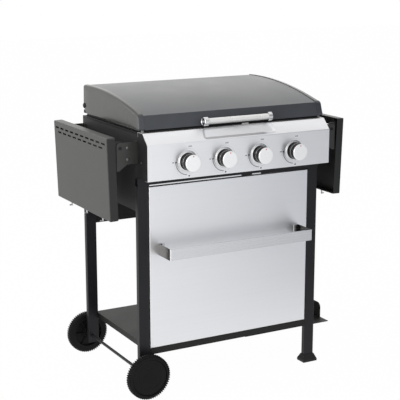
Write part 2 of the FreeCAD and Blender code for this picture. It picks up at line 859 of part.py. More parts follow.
recess_end = sized(slope_length) + s.recess_depth
pan = in_slope("RecessPan", s.recess_half_width + sheet, s.recess_start - sheet,
               s.recess_depth + sheet, recess_end)
hollow = in_slope("RecessHollow", s.recess_half_width, s.recess_start,
                  s.recess_depth, recess_end + s.recess_depth)
doc.recompute()
rounded = doc.addObject("Part::Fillet", "RecessRounded")
rounded.Base = hollow
lower_edges = []
for number, edge in enumerate(hollow.Shape.Edges, start=1):
    middle = edge.CenterOfMass
    across = near(abs(middle.x), s.recess_half_width)
    low_end = middle.z < hollow.Shape.CenterOfMass.z and near(edge.Length, s.recess_depth)
    if across and low_end:
        lower_edges.append((number, s.recess_corner.value, s.recess_corner.value))
rounded.Edges = lower_edges
pan_half = s.recess_half_width + sheet
over_top = block("OverTop", (-pan_half, panel_front, panel_top), (pan_half, s.cart_front, panel_top + s.recess_depth))
holes = [
    rod(f"SpindleHole{i}", "y", (x, panel_front, knob_height), s.spindle_hole, sheet)
    for i, x in enumerate(knob_places, start=1)
]
keep(without("control_panel", join("PanelWithPan", [folded, pan]), [rounded, over_top] + holes), "control_panel")

# Moulded end caps close the folded sheet. The gas pipe comes out through the right one.
pipe_y = panel_front + s.pipe_setback
pipe_z = knob_height - s.pipe_drop
inlet_y = pipe_y + s.inlet_run
inlet_hole = (inlet_y, pipe_z, s.inlet_radius + s.hole_play)
caps = []
for name, low, cap_holes in (
    ("EndCapLeft", -panel_half_width, []),
    ("EndCapRight", panel_half_width - s.end_cap, [inlet_hole]),
):
    cap = new_body(name)
    add(cap, "YZ_Plane", low, low + s.end_cap, [[
        (inner_face, panel_bottom + sheet), (lip_front, panel_bottom + sheet),
        (lip_front, panel_top - sheet), (bevel_back + sheet, panel_top - sheet),
        (inner_face, face_top - sheet),
    ]], cap_holes)
    caps.append(cap)
group("control_panel_ends", caps)


# Knobs. Each turns a plug in its valve through a spindle, which it also pushes in against a spring.

bezels = []
for i, x in enumerate(knob_places, start=1):
    bezel = spun(f"Bezel{i}", [
        (s.bezel_bore, sized(0.0)), (s.bezel_radius, sized(0.0)),
        (s.bezel_radius - s.bezel_thickness, -s.bezel_thickness), (s.bezel_bore, -s.bezel_thickness),
    ])
    bezels.append(put(bezel, x, panel_front, knob_height))
group("knob_bezels", bezels)

knob_stand_off = s.bezel_thickness + s.knob_travel + s.knob_gap
neck_start = knob_stand_off + s.skirt_depth
cap_start = neck_start + s.neck_depth
knob_bore_end = s.knob_reach - s.knob_crown
for i, x in enumerate(knob_places, start=1):
    bore = s.spindle_radius + s.running_gap
    turned = [
        (bore, knob_stand_off), (s.skirt_radius, knob_stand_off), (s.skirt_radius, neck_start),
        (s.neck_radius, neck_start), (s.neck_radius, cap_start), (s.cap_radius, cap_start),
        (s.cap_radius, s.knob_reach - s.cap_round), (s.cap_radius - s.cap_round, s.knob_reach),
        (sized(0.0), s.knob_reach), (sized(0.0), knob_bore_end), (bore, knob_bore_end),
    ]
    knob = spun(f"knob_{i}", [(radius, -distance) for radius, distance in turned])
    keep(put(knob, x, panel_front, knob_height), f"knob_{i}")

valve_front = inner_face + s.valve_neck_length
plug_front = valve_front + s.plug_floor
spindle_end = plug_front + s.plug_length - s.plug_floor - s.knob_travel - s.spindle_end_gap
spindle_start = panel_front - knob_bore_end
for i, x in enumerate(knob_places, start=1):
    spindle = rod(f"Spindle{i}", "y", (x, spindle_start, knob_height), s.spindle_radius,
                  spindle_end - spindle_start)
    keep(spindle, f"spindle_{i}")

for i, x in enumerate(knob_places, start=1):
    start = (x, plug_front, knob_height)
    plug = rod(f"Plug{i}", "y", start, s.plug_radius, s.plug_length)
    socket_radius = s.spindle_radius + s.running_gap
    socket = rod(f"PlugSocket{i}", "y", start, socket_radius, s.plug_length - s.plug_floor)
    keep(without(f"valve_plug_{i}", plug, [socket]), f"valve_plug_{i}")


# Gas valves on one pipe. Each has a neck against the panel and a jet that points into its burner.

valves = []
valve_bottom = knob_height - s.valve_height / 2
for i, x in enumerate(knob_places, start=1):
    neck = rod(f"ValveNeck{i}", "y", (x, inner_face, knob_height), s.valve_neck_radius, s.valve_neck_length)
    case = block(f"ValveCase{i}", (x - s.valve_width / 2, valve_front, valve_bottom),
                 (x + s.valve_width / 2, valve_front + s.valve_length, valve_bottom + s.valve_height))
    jet = rod(f"ValveJet{i}", "y", (x, valve_front + s.valve_length, knob_height),
              s.orifice_radius, s.orifice_length)
    way_in = rod(f"ValveWayIn{i}", "y", (x, inner_face, knob_height), s.spindle_radius + s.side_gap,
                 s.valve_neck_length + s.plug_floor)
    chamber = rod(f"ValveChamber{i}", "y", (x, plug_front - s.running_gap, knob_height),
                  s.plug_radius + s.running_gap, s.plug_length + 2 * s.running_gap)
    valves.append(without(f"Valve{i}", join(f"ValveSolid{i}", [neck, case, jet]), [way_in, chamber]))
group("gas_valves", valves)

pipe_left = knob_places[0] - s.pipe_end
pipe_right = box_inner - s.inlet_side_gap
pipe = [rod("Pipe", "x", (pipe_left, pipe_y, pipe_z), s.pipe_radius, pipe_right - pipe_left)]
for i, x in enumerate(knob_places, start=1):
    pipe.append(block(f"PipeBoss{i}", (x - s.pipe_boss / 2, pipe_y - s.pipe_boss / 2, pipe_z),
                      (x + s.pipe_boss / 2, pipe_y + s.pipe_boss / 2, valve_bottom)))
keep(join("gas_manifold", pipe), "gas_manifold")

half_block = s.inlet_block / 2
inlet_x = pipe_right + half_block
keep(join("gas_inlet", [
    block("InletElbow", (pipe_right, pipe_y - half_block, pipe_z - half_block),
          (pipe_right + s.inlet_block, pipe_y + half_block, pipe_z + half_block)),
    rod("InletRun", "y", (inlet_x, pipe_y, pipe_z), s.inlet_radius, s.inlet_run),
    block("InletCorner", (pipe_right, inlet_y - half_block, pipe_z - half_block),
          (pipe_right + s.inlet_block, inlet_y + half_block, pipe_z + half_block)),
    rod("InletWayOut", "x", (inlet_x, inlet_y, pipe_z), s.inlet_radius, panel_half_width - inlet_x),
    rod("InletSpigot", "x", (panel_half_width, inlet_y, pipe_z), s.spigot_radius, s.spigot_length),
]), "gas_inlet")


# Burners: closed tubes from the jets to the rear panel. Flame tamers: bent sheets above them.

burners = []
tamers = []
burner_start = s.cart_front - s.burner_mouth
burner_end = cart_rear - s.burner_tail
tamer_bottom = ledge_top - s.tamer_drop
for i, x in enumerate(knob_places, start=1):
    start = (x, burner_start, knob_height)
    length = burner_end - burner_start
    tail = rod(f"BurnerTail{i}", "y", (x, burner_end, knob_height), s.orifice_radius, s.burner_tail)
    tube = join(f"BurnerTube{i}", [rod(f"BurnerOuter{i}", "y", start, s.burner_radius, length), tail])
    bore = rod(f"BurnerBore{i}", "y", start, s.burner_radius - s.burner_wall, length - s.burner_wall)
    burners.append(without(f"Burner{i}", tube, [bore]))
    tamer = new_body(f"Tamer{i}")
    peak = tamer_bottom + s.tamer_rise
    add(tamer, "XZ_Plane", wall_back, cart_rear, [[
        (x - s.tamer_half_width, tamer_bottom), (x - s.tamer_half_width + 2 * s.tamer_sheet, tamer_bottom),
        (x, peak - s.tamer_sheet), (x + s.tamer_half_width - 2 * s.tamer_sheet, tamer_bottom),
        (x + s.tamer_half_width, tamer_bottom), (x, peak),
    ]])
    tamers.append(tamer)
group("burners", burners)
group("flame_tamers", tamers)


# Grates: cast plates with long slots, which lie on the two ledges.

grate_front = wall_back + s.grate_end_gap
grate_rear = cart_rear - s.grate_end_gap
grate_reach = box_inner - s.grate_side_gap
run_length = (grate_rear - grate_front - s.grate_frame * (GRATE_SLOT_RUNS + 1)) / GRATE_SLOT_RUNS
slot_step = s.grate_slot + s.grate_bar
grate_inside = grate_reach - s.grate_half_gap - 2 * s.grate_frame
slot_count = int((grate_inside.value - s.grate_slot.value) // slot_step.value) + 1
slot_margin = (grate_inside - s.grate_slot - slot_step * (slot_count - 1)) / 2
for side, x_low in (("left", -grate_reach), ("right", s.grate_half_gap)):
    grate = new_body(f"grate_{side}")
    x_high = x_low + grate_reach - s.grate_half_gap
    grate_top = ledge_top + s.grate_height
    add(grate, "XY_Plane", ledge_top, grate_top, [rectangle(x_low, grate_front, x_high, grate_rear)])
    first_slot = x_low + s.grate_frame + slot_margin
    runs = []
    for run in range(GRATE_SLOT_RUNS):
        y_low = grate_front + s.grate_frame + (run_length + s.grate_frame) * run
        runs.append(rectangle(first_slot, y_low, first_slot + s.grate_slot, y_low + run_length))
    slots = cut_away(grate, "XY_Plane", ledge_top, grate_top, runs)
    repeat(grate, slots, slot_step * (slot_count - 1), slot_count)
    keep(grate, f"grate_{side}")


# Grease tray: a pan on two runners, drawn out to the back by its face plate.

tray_start = s.cart_front + s.tray_front_gap
face_front = rear_outer + s.side_gap
tray_top = tray_bottom + s.tray_height
pan_box = block("TrayPan", (-tray_half_width, tray_start, tray_bottom),
                (tray_half_width, face_front, tray_top))
pan_hollow = block("TrayHollow", (s.tray_sheet - tray_half_width, tray_start + s.tray_sheet,
                                  tray_bottom + s.tray_sheet),
                   (tray_half_width - s.tray_sheet, face_front - s.tray_sheet, tray_top))
face_side = slot_side + s.tray_face_overlap
face_back = face_front + s.tray_face_sheet
face_low = slot_low - s.tray_face_overlap
face_high = slot_high + s.tray_face_overlap
keep(join("grease_tray", [
    without("TrayBowl", pan_box, [pan_hollow]),
    block("TrayFace", (-face_side, face_front, face_low), (face_side, face_back, face_high)),
    block("TrayGrip", (-face_side, face_back, face_low),
          (face_side, face_back + s.tray_grip, face_low + s.tray_face_sheet)),
]), "grease_tray")

runners = []
for side, way in (("Left", -1), ("Right", 1)):
    wall = box_inner * way
    inner_edge = (tray_half_width - s.runner_reach) * way
    upright = (box_inner - s.runner_sheet) * way
    low, high = sorted((wall, inner_edge), key=lambda size: size.value)
    shelf = block(f"RunnerShelf{side}", (low, tray_start, runner_top - s.runner_sheet),
                  (high, cart_rear, runner_top))
    low, high = sorted((wall, upright), key=lambda size: size.value)
    web = block(f"RunnerWeb{side}", (low, tray_start, runner_top - s.runner_sheet),
                (high, cart_rear, runner_top + s.runner_height))
    runners.append(join(f"Runner{side}", [shelf, web]))
group("tray_runners", runners)


# Lid: a curved sheet between two end plates, hinged on a bolt at each rear corner.

lid_front_top = (lid_front + s.lid_lean, lid_bottom + s.lid_front_height)
lid_back_top = lid_bottom + s.lid_back_height
lid_back_low = lid_bottom + s.lid_back_cut
hinge_y = lid_back - s.hinge_inset
hinge_z = lid_bottom + s.hinge_rise
shell_half = lid_half_width - s.lid_end
thin = s.lid_sheet

shell = new_body("lid_shell")
shell_front = lid_front + s.lid_seam
shell_front_top = (lid_front_top[0] + s.lid_seam, lid_front_top[1] - s.lid_seam)
shell_back = lid_back - s.lid_seam
shell_back_top = lid_back_top - s.lid_seam
add(shell, "YZ_Plane", -shell_half, shell_half, [[
    (shell_front, lid_bottom), (shell_front + thin, lid_bottom),
    (shell_front_top[0] + thin, shell_front_top[1] - thin, s.lid_crown_radius, -1),
    (shell_back - thin, shell_back_top - thin), (shell_back - thin, lid_back_low),
    (shell_back, lid_back_low),
    (shell_back, shell_back_top, s.lid_crown_radius, 1), shell_front_top,
]])
round_edges(shell, s.lid_rear_round - thin,
            lambda e: along(e, "x") and near(e.BoundBox.ZMin, shell_back_top - thin))
round_edges(shell, s.lid_rear_round, lambda e: along(e, "x") and near(e.BoundBox.ZMin, shell_back_top))
slot_top = lid_back_low + s.hinge_slot
slot_width = s.hinge_plate + 2 * s.hinge_gap + thin
for low, high in ((-shell_half, slot_width - shell_half), (shell_half - slot_width, shell_half)):
    cut_away(shell, "XZ_Plane", lid_back - s.lid_rear_round, lid_back,
             [rectangle(low, lid_back_low, high, slot_top)])
keep(shell, "lid_shell")

for side, low, high in (("left", -lid_half_width, -shell_half), ("right", shell_half, lid_half_width)):
    plate = new_body(f"lid_end_{side}")
    add(plate, "YZ_Plane", low, high, [[
        (lid_front, lid_bottom), (lid_back - s.lid_bottom_cut, lid_bottom), (lid_back, lid_back_low),
        (lid_back, lid_back_top, s.lid_crown_radius, 1), lid_front_top,
    ]], [(hinge_y, hinge_z, s.hinge_bolt_radius + s.running_gap)])
    round_edges(plate, s.lid_rear_round, lambda e: along(e, "x") and near(e.BoundBox.ZMin, lid_back_top))
    outer = low if side == "left" else high

    def on_rim(edge):
        """An edge of the outer face above the bottom, away from the bolt hole."""
        box = edge.BoundBox
        on_face = near(box.XMin, outer) and near(box.XMax, outer)
        at_hole = near(box.YLength, 2 * (s.hinge_bolt_radius + s.running_gap))
        return on_face and not at_hole and box.ZMax > lid_back_low.value + 0.01

    round_edges(plate, s.lid_end_round, on_rim)
    skin = s.lid_end - s.lid_end_skin
    hollow_low, hollow_high = (high - skin, high) if side == "left" else (low, low + skin)
    wall = s.lid_end_wall
    boss = hinge_y - s.hinge_boss
    share = (boss - lid_front_top[0]) / (lid_back - lid_front_top[0])
    boss_top = lid_front_top[1] + (lid_back_top - lid_front_top[1]) * share
    cut_away(plate, "YZ_Plane", hollow_low, hollow_high, [[
        (lid_front + 2 * wall, lid_bottom + wall), (boss, lid_bottom + wall), (boss, boss_top - wall),
        (lid_front_top[0] + wall, lid_front_top[1] - 2 * wall),
    ]])
    keep(plate, f"lid_end_{side}")

bolts = []
brackets = []
for name, way in (("Left", -1), ("Right", 1)):
    plate_out = (shell_half - s.hinge_gap) * way
    plate_in = (shell_half - s.hinge_gap - s.hinge_plate) * way
    low, high = sorted((plate_in, plate_out), key=lambda size: size.value)
    neck = new_body(f"HingePlate{name}")
    plate_bottom_z = box_top - s.hinge_depth
    add(neck, "YZ_Plane", low, high, [[
        (hinge_y - s.hinge_neck, plate_bottom_z), (cart_rear, plate_bottom_z), (cart_rear, box_top),
        (hinge_y + s.hinge_neck, box_top + s.hinge_neck), (hinge_y + s.hinge_neck, hinge_z + s.hinge_neck),
        (hinge_y - s.hinge_neck, hinge_z + s.hinge_neck),
    ]], [(hinge_y, hinge_z, s.hinge_bolt_radius + s.running_gap)])
    foot_edge = (shell_half - s.hinge_gap + s.hinge_flange) * way
    low, high = sorted((plate_in, foot_edge), key=lambda size: size.value)
    add(neck, "XZ_Plane", cart_rear - s.hinge_plate, cart_rear,
        [rectangle(low, plate_bottom_z, high, box_top - s.hinge_neck)])
    brackets.append(neck)
    shank_end = (shell_half - s.hinge_gap - s.hinge_plate - s.hinge_gap) * way
    face = lid_half_width * way
    low, high = sorted((shank_end, face), key=lambda size: size.value)
    shank = rod(f"HingeShank{name}", "x", (low, hinge_y, hinge_z), s.hinge_bolt_radius, high - low)
    head_low = face if way > 0 else face - s.hinge_head
    head = rod(f"HingeHead{name}", "x", (head_low, hinge_y, hinge_z), s.hinge_head_radius, s.hinge_head)
    bolts.append(join(f"HingeBolt{name}", [shank, head]))
group("lid_hinge_brackets", brackets)
group("lid_hinge_bolts", bolts)

# The handle tube runs between two collars, each on a post square to the leaning front of the lid.
handle_y = lid_front - s.handle_setback
handle_z = lid_bottom + s.handle_rise
tube_half = s.handle_half_length - s.collar_length
keep(rod("HandleTube", "x", (-tube_half, handle_y, handle_z), s.handle_radius, 2 * tube_half), "lid_handle")
lean = math.atan2(s.lid_lean.value, s.lid_front_height.value - s.lid_seam.value)
post_length = (s.handle_setback + s.lid_seam) * math.cos(lean) + s.handle_rise * math.sin(lean)
posts = []
for name, low in (("Left", -s.handle_half_length), ("Right", tube_half)):
    collar = rod(f"Collar{name}", "x", (low, handle_y, handle_z), s.collar_radius, s.collar_length)
    post = doc.addObject("Part::Cylinder", f"Post{name}")
    bind(post, "Radius", s.post_radius)
    bind(post, "Height", post_length)
    put(post, low + s.collar_length / 2, handle_y, handle_z, Vector(-1, 0, 0), 90.0 + math.degrees(lean))
    posts.append(join(f"CollarPost{name}", [collar, post]))
group("lid_handle_posts", posts)

buffer_x = lid_half_width - s.buffer_inset
group("lid_buffers", [
    rod(f"Buffer{name}", "z", (x, lid_front + s.buffer_setback, panel_top), s.buffer_radius,
        lid_bottom - panel_top - s.buffer_gap)
    for name, x in (("Left", -buffer_x), ("Right", buffer_x))
])


# Side shelves: folded pans with two rows of slots. Each hangs on ears that turn on two bolts.
# A shelf is drawn about its pivot as if it hung straight, and its placement tilts it.

shelf_rear = shelf_front + s.shelf_length
shelf_middle = shelf_front + s.shelf_length / 2
slots_below = SLOTS_IN_TOP_ROW - 1
ear_front = shelf_front + s.ear_setback
ear_rear = shelf_rear - s.ear_setback


def across(way, near_pivot, far):
    """A stretch of x on one side of the pivot, as low and high."""
    return sorted((near_pivot * way, far * way), key=lambda size: size.value)


def hang(thing, way):
    """Put a piece that was drawn about the pivot in its place on one side of the grill."""
    tilt = s.shelf_tilt.value * way
    return put(thing, shelf_pivot_reach * way, sized(0.0), shelf_pivot_height, Vector(0, 1, 0), tilt)


for side, way in (("left", -1), ("right", 1)):
    shelf = new_body(f"shelf_{side}")
    pan_edge = s.shelf_reach - s.shelf_depth
    skin = s.shelf_reach - s.shelf_sheet
    t = s.shelf_sheet
    low, high = across(way, pan_edge, s.shelf_reach)
    add(shelf, "YZ_Plane", low, high, [rectangle(shelf_front, -s.shelf_below, shelf_rear, s.shelf_above)])
    outer_x = s.shelf_reach * way

    def on_outer_rim(edge):
        box = edge.BoundBox
        corner = along(edge, "x")
        return corner or (near(box.XMin, outer_x) and near(box.XMax, outer_x))

    round_edges(shelf, s.shelf_round, on_outer_rim)
    low, high = across(way, pan_edge, skin)
    cut_away(shelf, "YZ_Plane", low, high,
             [rectangle(shelf_front + t, t - s.shelf_below, shelf_rear - t, s.shelf_above - t)])
    low, high = across(way, skin, s.shelf_reach)
    for row, count in enumerate((SLOTS_IN_TOP_ROW, slots_below)):
        span = s.slot_pitch * (count - 1)
        y_low = shelf_middle - span / 2 - s.slot_length / 2
        z_low = s.slot_top - s.slot_row * row - s.slot_height / 2
        slot = cut_away(shelf, "YZ_Plane", low, high,
                        [rectangle(y_low, z_low, y_low + s.slot_length, z_low + s.slot_height)])
        repeat(shelf, slot, span, count)
    ear_root = (s.shelf_reach - t / 2) * -way
    ear_tip = s.ear_reach * -way
    outline = [
        (-ear_root, -s.ear_root - s.ear_half_height), (-ear_root, s.ear_root),
        (ear_tip, s.ear_half_height), (ear_tip, -s.ear_half_height),
    ]
    for low in (ear_front, ear_rear - s.ear_sheet):
        add(shelf, "XZ_Plane", low, low + s.ear_sheet, [outline])
        cut_away(shelf, "XZ_Plane", low, low + s.ear_sheet, [],
                 [(sized(0.0), sized(0.0), s.pivot_bolt_radius + s.running_gap)])
    round_edges(shelf, s.ear_corner, lambda e: along(e, "y") and near(e.BoundBox.XMin, ear_tip))
    keep(hang(shelf, way), f"shelf_{side}")

for side, way in (("left", -1), ("right", 1)):
    hooks = []
    stem_x = (s.shelf_reach - s.shelf_depth / 2) * way
    for i in range(HOOK_COUNT):
        y = shelf_middle + s.hook_pitch * (i - (HOOK_COUNT - 1) / 2)
        foot_z = -s.shelf_below - s.hook_drop
        stem = rod(f"HookStem{side}{i}", "z", (stem_x, y, foot_z), s.hook_radius, s.hook_drop)
        tip_low = stem_x if way > 0 else stem_x - s.hook_tip
        tip_start = (tip_low, y, foot_z + s.hook_radius)
        tip = rod(f"HookTip{side}{i}", "x", tip_start, s.hook_tip_radius, s.hook_tip)
        hooks.append(hang(join(f"Hook{side}{i}", [stem, tip]), way))
    group(f"shelf_hooks_{side}", hooks)

brackets = []
bolts = []
heads = []
for side, way in (("Left", -1), ("Right", 1)):
    wall = box_half_width * way
    nose = (shelf_pivot_reach + s.bracket_nose) * way
    tail_edge = (shelf_pivot_reach + s.bracket_nose - s.bracket_tail_width) * way
    tail_root = (shelf_pivot_reach - 2 * s.bracket_nose) * way
    pivot_x = shelf_pivot_reach * way
    top = shelf_pivot_height + s.bracket_above
    foot_line = shelf_pivot_height - s.bracket_below
    tail_end = shelf_pivot_height - s.bracket_tail
    outline = [(wall, foot_line), (wall, top), (nose, top), (nose, tail_end), (tail_edge, tail_end),
               (tail_root, foot_line)]
    flange_face = (box_half_width + s.bracket_sheet) * way
    flange_low, flange_high = sorted((wall, flange_face), key=lambda size: size.value)
    front_face = ear_front - s.bracket_gap
    rear_face = ear_rear + s.bracket_gap
    for end, face, outward in (("Front", front_face, -1), ("Rear", rear_face, 1)):
        outer_face = face + s.bracket_sheet * outward
        plate_low, plate_high = sorted((face, outer_face), key=lambda size: size.value)
        bracket = new_body(f"Bracket{end}{side}")
        add(bracket, "XZ_Plane", plate_low, plate_high, [outline],
            [(pivot_x, shelf_pivot_height, s.pivot_bolt_radius + s.running_gap)])
        round_edges(bracket, s.bracket_corner,
                    lambda e: along(e, "y") and near(e.BoundBox.XMin, nose) and near(e.BoundBox.ZMin, top))
        back = face - s.bracket_flange * outward
        low, high = sorted((plate_low if outward > 0 else plate_high, back), key=lambda size: size.value)
        add(bracket, "XZ_Plane", low, high, [rectangle(flange_low, foot_line, flange_high, top)])
        brackets.append(bracket)
        ear_back = face - (s.bracket_gap + s.ear_sheet + s.bracket_gap) * outward
        low, high = sorted((outer_face, ear_back), key=lambda size: size.value)
        shank = rod(f"PivotShank{end}{side}", "y", (pivot_x, low, shelf_pivot_height),
                    s.pivot_bolt_radius, high - low)
        head_low = outer_face if outward > 0 else outer_face - s.pivot_head
        head = rod(f"PivotHead{end}{side}", "y", (pivot_x, head_low, shelf_pivot_height),
                   s.pivot_head_radius, s.pivot_head)
        bolts.append(join(f"PivotBolt{end}{side}", [shank, head]))
        for i in range(2):
            cone = doc.addObject("Part::Cone", f"BoltHead{end}{side}{i}")
            bind(cone, "Radius1", s.bolt_head_radius)
            bind(cone, "Radius2", s.bolt_head_top)
            bind(cone, "Height", s.bolt_head)
            x = (box_half_width + s.bolt_inset) * way
            z = shelf_pivot_height - s.bolt_spacing * i
            put(cone, x, outer_face, z, Vector(-outward, 0, 0), 90.0)
            heads.append(cone)
group("shelf_brackets", brackets)
group("shelf_pivot_bolts", bolts)
group("fasteners", heads)


# Check every object, then write each sub-part.

doc.recompute()
failed = [thing.Name for thing in doc.Objects if {"Invalid", "Error"} & set(thing.State)]
if failed:
    raise RuntimeError(f"not built: {failed}")
for node in nodes:
    if node.Shape.isNull() or not node.Shape.isValid():
        raise RuntimeError(f"{node.Label}: no valid shape")
os.makedirs("parts", exist_ok=True)
for node in nodes:
    node.Shape.exportStep(f"parts/{node.Label}.step")
print(f"{len(nodes)} sub-parts written")
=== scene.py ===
"""Gas grill on a wheeled cart: the looks of its pieces, in metres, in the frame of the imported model."""
import math

import bmesh
import bpy
import numpy as np
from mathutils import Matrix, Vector


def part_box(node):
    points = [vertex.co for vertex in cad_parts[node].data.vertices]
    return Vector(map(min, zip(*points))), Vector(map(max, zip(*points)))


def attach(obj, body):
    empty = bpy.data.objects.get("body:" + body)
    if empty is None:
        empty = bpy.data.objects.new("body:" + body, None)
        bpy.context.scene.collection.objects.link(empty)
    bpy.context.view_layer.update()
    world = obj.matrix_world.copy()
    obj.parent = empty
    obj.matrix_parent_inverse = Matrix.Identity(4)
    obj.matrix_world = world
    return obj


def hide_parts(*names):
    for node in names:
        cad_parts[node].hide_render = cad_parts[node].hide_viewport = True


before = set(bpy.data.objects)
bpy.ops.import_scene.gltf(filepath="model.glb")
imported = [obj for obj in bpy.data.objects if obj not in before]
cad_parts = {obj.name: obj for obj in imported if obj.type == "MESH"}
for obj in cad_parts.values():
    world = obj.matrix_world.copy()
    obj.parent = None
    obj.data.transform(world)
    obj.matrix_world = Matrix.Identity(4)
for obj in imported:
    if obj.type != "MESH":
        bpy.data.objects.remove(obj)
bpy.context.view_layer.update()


# Finishes: each material is one shader, and its detail is worked out from the piece's own coordinates.

class Flow:
    """A value inside a material, read from one node's output. Arithmetic on it adds Math nodes."""

    def __init__(self, tree, socket=None):
        self.tree = tree
        self.socket = socket

    def node(self, kind, settings=None, inputs=None, output=0):
        """Add a node of one type: its settings first, then values or links for its input sockets."""
        made = self.tree.nodes.new(kind)
        for name, value in (settings or {}).items():
            if name == "stops":
                ramp = made.color_ramp.elements
                while len(ramp) < len(value):
                    ramp.new(1.0)
                for stop, (place, colour) in zip(ramp, value):
                    stop.position = place
                    stop.color = (*colour, 1.0)
            else:
                setattr(made, name, value)
        for name, value in (inputs or {}).items():
            if isinstance(value, Flow):
                self.tree.links.new(value.socket, made.inputs[name])
            else:
                made.inputs[name].default_value = value
        return Flow(self.tree, made.outputs[output])

    def output(self, name):
        """Another output of the node that this value comes from."""
        return Flow(self.tree, self.socket.node.outputs[name])

    def maths(self, operation, first, second=0.0):
        return self.node("ShaderNodeMath", {"operation": operation}, {0: first, 1: second})

    def clamped(self):
        """The value held between 0 and 1."""
        return self.node("ShaderNodeClamp", None, {0: self})

    def __add__(self, other):
        return self.maths("ADD", self, other)

    def __sub__(self, other):
        return self.maths("SUBTRACT", self, other)

    def __rsub__(self, other):
        return self.maths("SUBTRACT", other, self)

    def __mul__(self, other):
        return self.maths("MULTIPLY", self, other)

    def __truediv__(self, other):
        return self.maths("DIVIDE", self, other)

    def __lt__(self, other):
        return self.maths("LESS_THAN", self, other)

    def __gt__(self, other):
        return self.maths("GREATER_THAN", self, other)

    def __abs__(self):
        return self.maths("ABSOLUTE", self)

    __radd__ = __add__
    __rmul__ = __mul__


def shader_of(material):
    return material.node_tree.nodes["Principled BSDF"]


def new_finish(name, colour, roughness, metallic=0.0, gloss=0.5):
    """A material of one colour, and a Flow to build its detail from. gloss is the level of its plain
    reflection, 0.5 for clear varnish and less for matt paint."""
    material = bpy.data.materials.new(name)
    material.use_nodes = True
    inputs = shader_of(material).inputs
    inputs["Base Color"].default_value = (*colour, 1.0)
    inputs["Roughness"].default_value = roughness
    inputs["Metallic"].default_value = metallic
    inputs["Specular IOR Level"].default_value = gloss
    return material, Flow(material.node_tree)


def feed(material, socket, flow):
    """Link a flow into one socket of the material's shader."""
    material.node_tree.links.new(flow.socket, shader_of(material).inputs[socket])


def overlay(material, mask, colour, socket="Base Color"):
    """Blend the colour that feeds a socket of the shader to another one, as the mask goes from 0 to 1."""
    under = Flow(material.node_tree, shader_of(material).inputs[socket].links[0].from_socket)
    inputs = {0: mask, 6: under, 7: (*colour, 1.0)}
    feed(material, socket, under.node("ShaderNodeMix", {"data_type": "RGBA"}, inputs, output=2))


def coordinates(material):
    """The x, y and z of a point, in the piece's own frame."""
    flow = Flow(material.node_tree)
    place = flow.node("ShaderNodeTexCoord", output="Object")
    x = flow.node("ShaderNodeSeparateXYZ", None, {"Vector": place})
    return x, x.output("Y"), x.output("Z")


def grain(flow, scale, detail=2.0, stretch=(1.0, 1.0, 1.0)):
    """Noise over the piece's own coordinates, in cells per metre, drawn out along an axis by stretch."""
    place = flow.node("ShaderNodeTexCoord", output="Object")
    drawn = flow.node("ShaderNodeMapping", None, {"Vector": place, "Scale": stretch})
    return flow.node("ShaderNodeTexNoise", None, {"Vector": drawn, "Scale": scale, "Detail": detail})


def shades(value, dark, light):
    """A colour that runs from dark to light as the value goes over the middle of its range."""
    return value.node("ShaderNodeValToRGB", {"stops": [(0.3, dark), (0.7, light)]}, {"Fac": value})


def relief(material, height, strength, depth):
    """Bump from a height, depth in metres."""
    inputs = {"Strength": strength, "Distance": depth, "Height": height}
    feed(material, "Normal", height.node("ShaderNodeBump", None, inputs, output="Normal"))


def tint(colour, factor):
    return tuple(channel * factor for channel in colour)


def coat(name, colour, roughness, peel_scale=650.0, peel_depth=0.00012, gloss=0.3):
    """A sprayed coat: cloudy colour and sheen from broad noise, orange peel from fine noise."""
    material, flow = new_finish(name, colour, roughness, gloss=gloss)
    cloud = grain(flow, 7.0, detail=4.0)
    peel = grain(flow, peel_scale)
    feed(material, "Base Color", shades(cloud, tint(colour, 0.86), tint(colour, 1.14)))
    feed(material, "Roughness", roughness + (cloud - 0.5) * 0.16 + (peel - 0.5) * 0.1)
    relief(material, peel, strength=0.25, depth=peel_depth)
    return material


def moulded(name, colour, roughness, grain_scale=1400.0, gloss=0.25):
    """Moulded plastic: a fine even grain, with a faint flow cloud in its sheen."""
    material, flow = new_finish(name, colour, roughness, gloss=gloss)
    fine = grain(flow, grain_scale, detail=1.0)
    cloud = grain(flow, 18.0, detail=3.0)
    feed(material, "Base Color", shades(cloud, tint(colour, 0.85), tint(colour, 1.2)))
    feed(material, "Roughness", roughness + (cloud - 0.5) * 0.14 + (fine - 0.5) * 0.12)
    relief(material, fine, strength=0.3, depth=0.00008)
    return material


def plated(name, colour, roughness):
    """Zinc plate: pale cells of spangle, each with its own sheen."""
    material, flow = new_finish(name, colour, roughness, metallic=1.0)
    place = flow.node("ShaderNodeTexCoord", output="Object")
    cells = flow.node("ShaderNodeTexVoronoi", None, {"Vector": place, "Scale": 260.0}, output="Distance")
    feed(material, "Base Color", shades(cells, tint(colour, 0.85), tint(colour, 1.1)))
    feed(material, "Roughness", roughness + (cells - 0.4) * 0.2)
    relief(material, grain(flow, 900.0), strength=0.1, depth=0.00005)
    return material


def brushed(name, colour, roughness):
    """Brushed stainless: fine level streaks in colour, sheen and relief, drawn out along X. The streaks
    spread reflections up and down."""
    material, flow = new_finish(name, colour, roughness, metallic=1.0)
    shader_of(material).inputs["Anisotropic"].default_value = 0.75
    shader_of(material).inputs["Anisotropic Rotation"].default_value = 0.25
    fine = grain(flow, 1.0, detail=3.0, stretch=(5.0, 1900.0, 1900.0))
    broad = grain(flow, 1.0, stretch=(1.5, 130.0, 130.0))
    cloud = grain(flow, 3.5, detail=3.0)
    streak = fine * 0.8 + broad * 0.2
    feed(material, "Base Color", shades(streak, tint(colour, 0.975), tint(colour, 1.02)))
    feed(material, "Roughness", roughness + (streak - 0.5) * 0.1 + (cloud - 0.5) * 0.06)
    relief(material, streak, strength=0.05, depth=0.00006)
    return material


def dress(material, *names):
    """Give CAD nodes a finish."""
    for name in names:
        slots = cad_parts[name].data.materials
        slots.clear()
        slots.append(material)


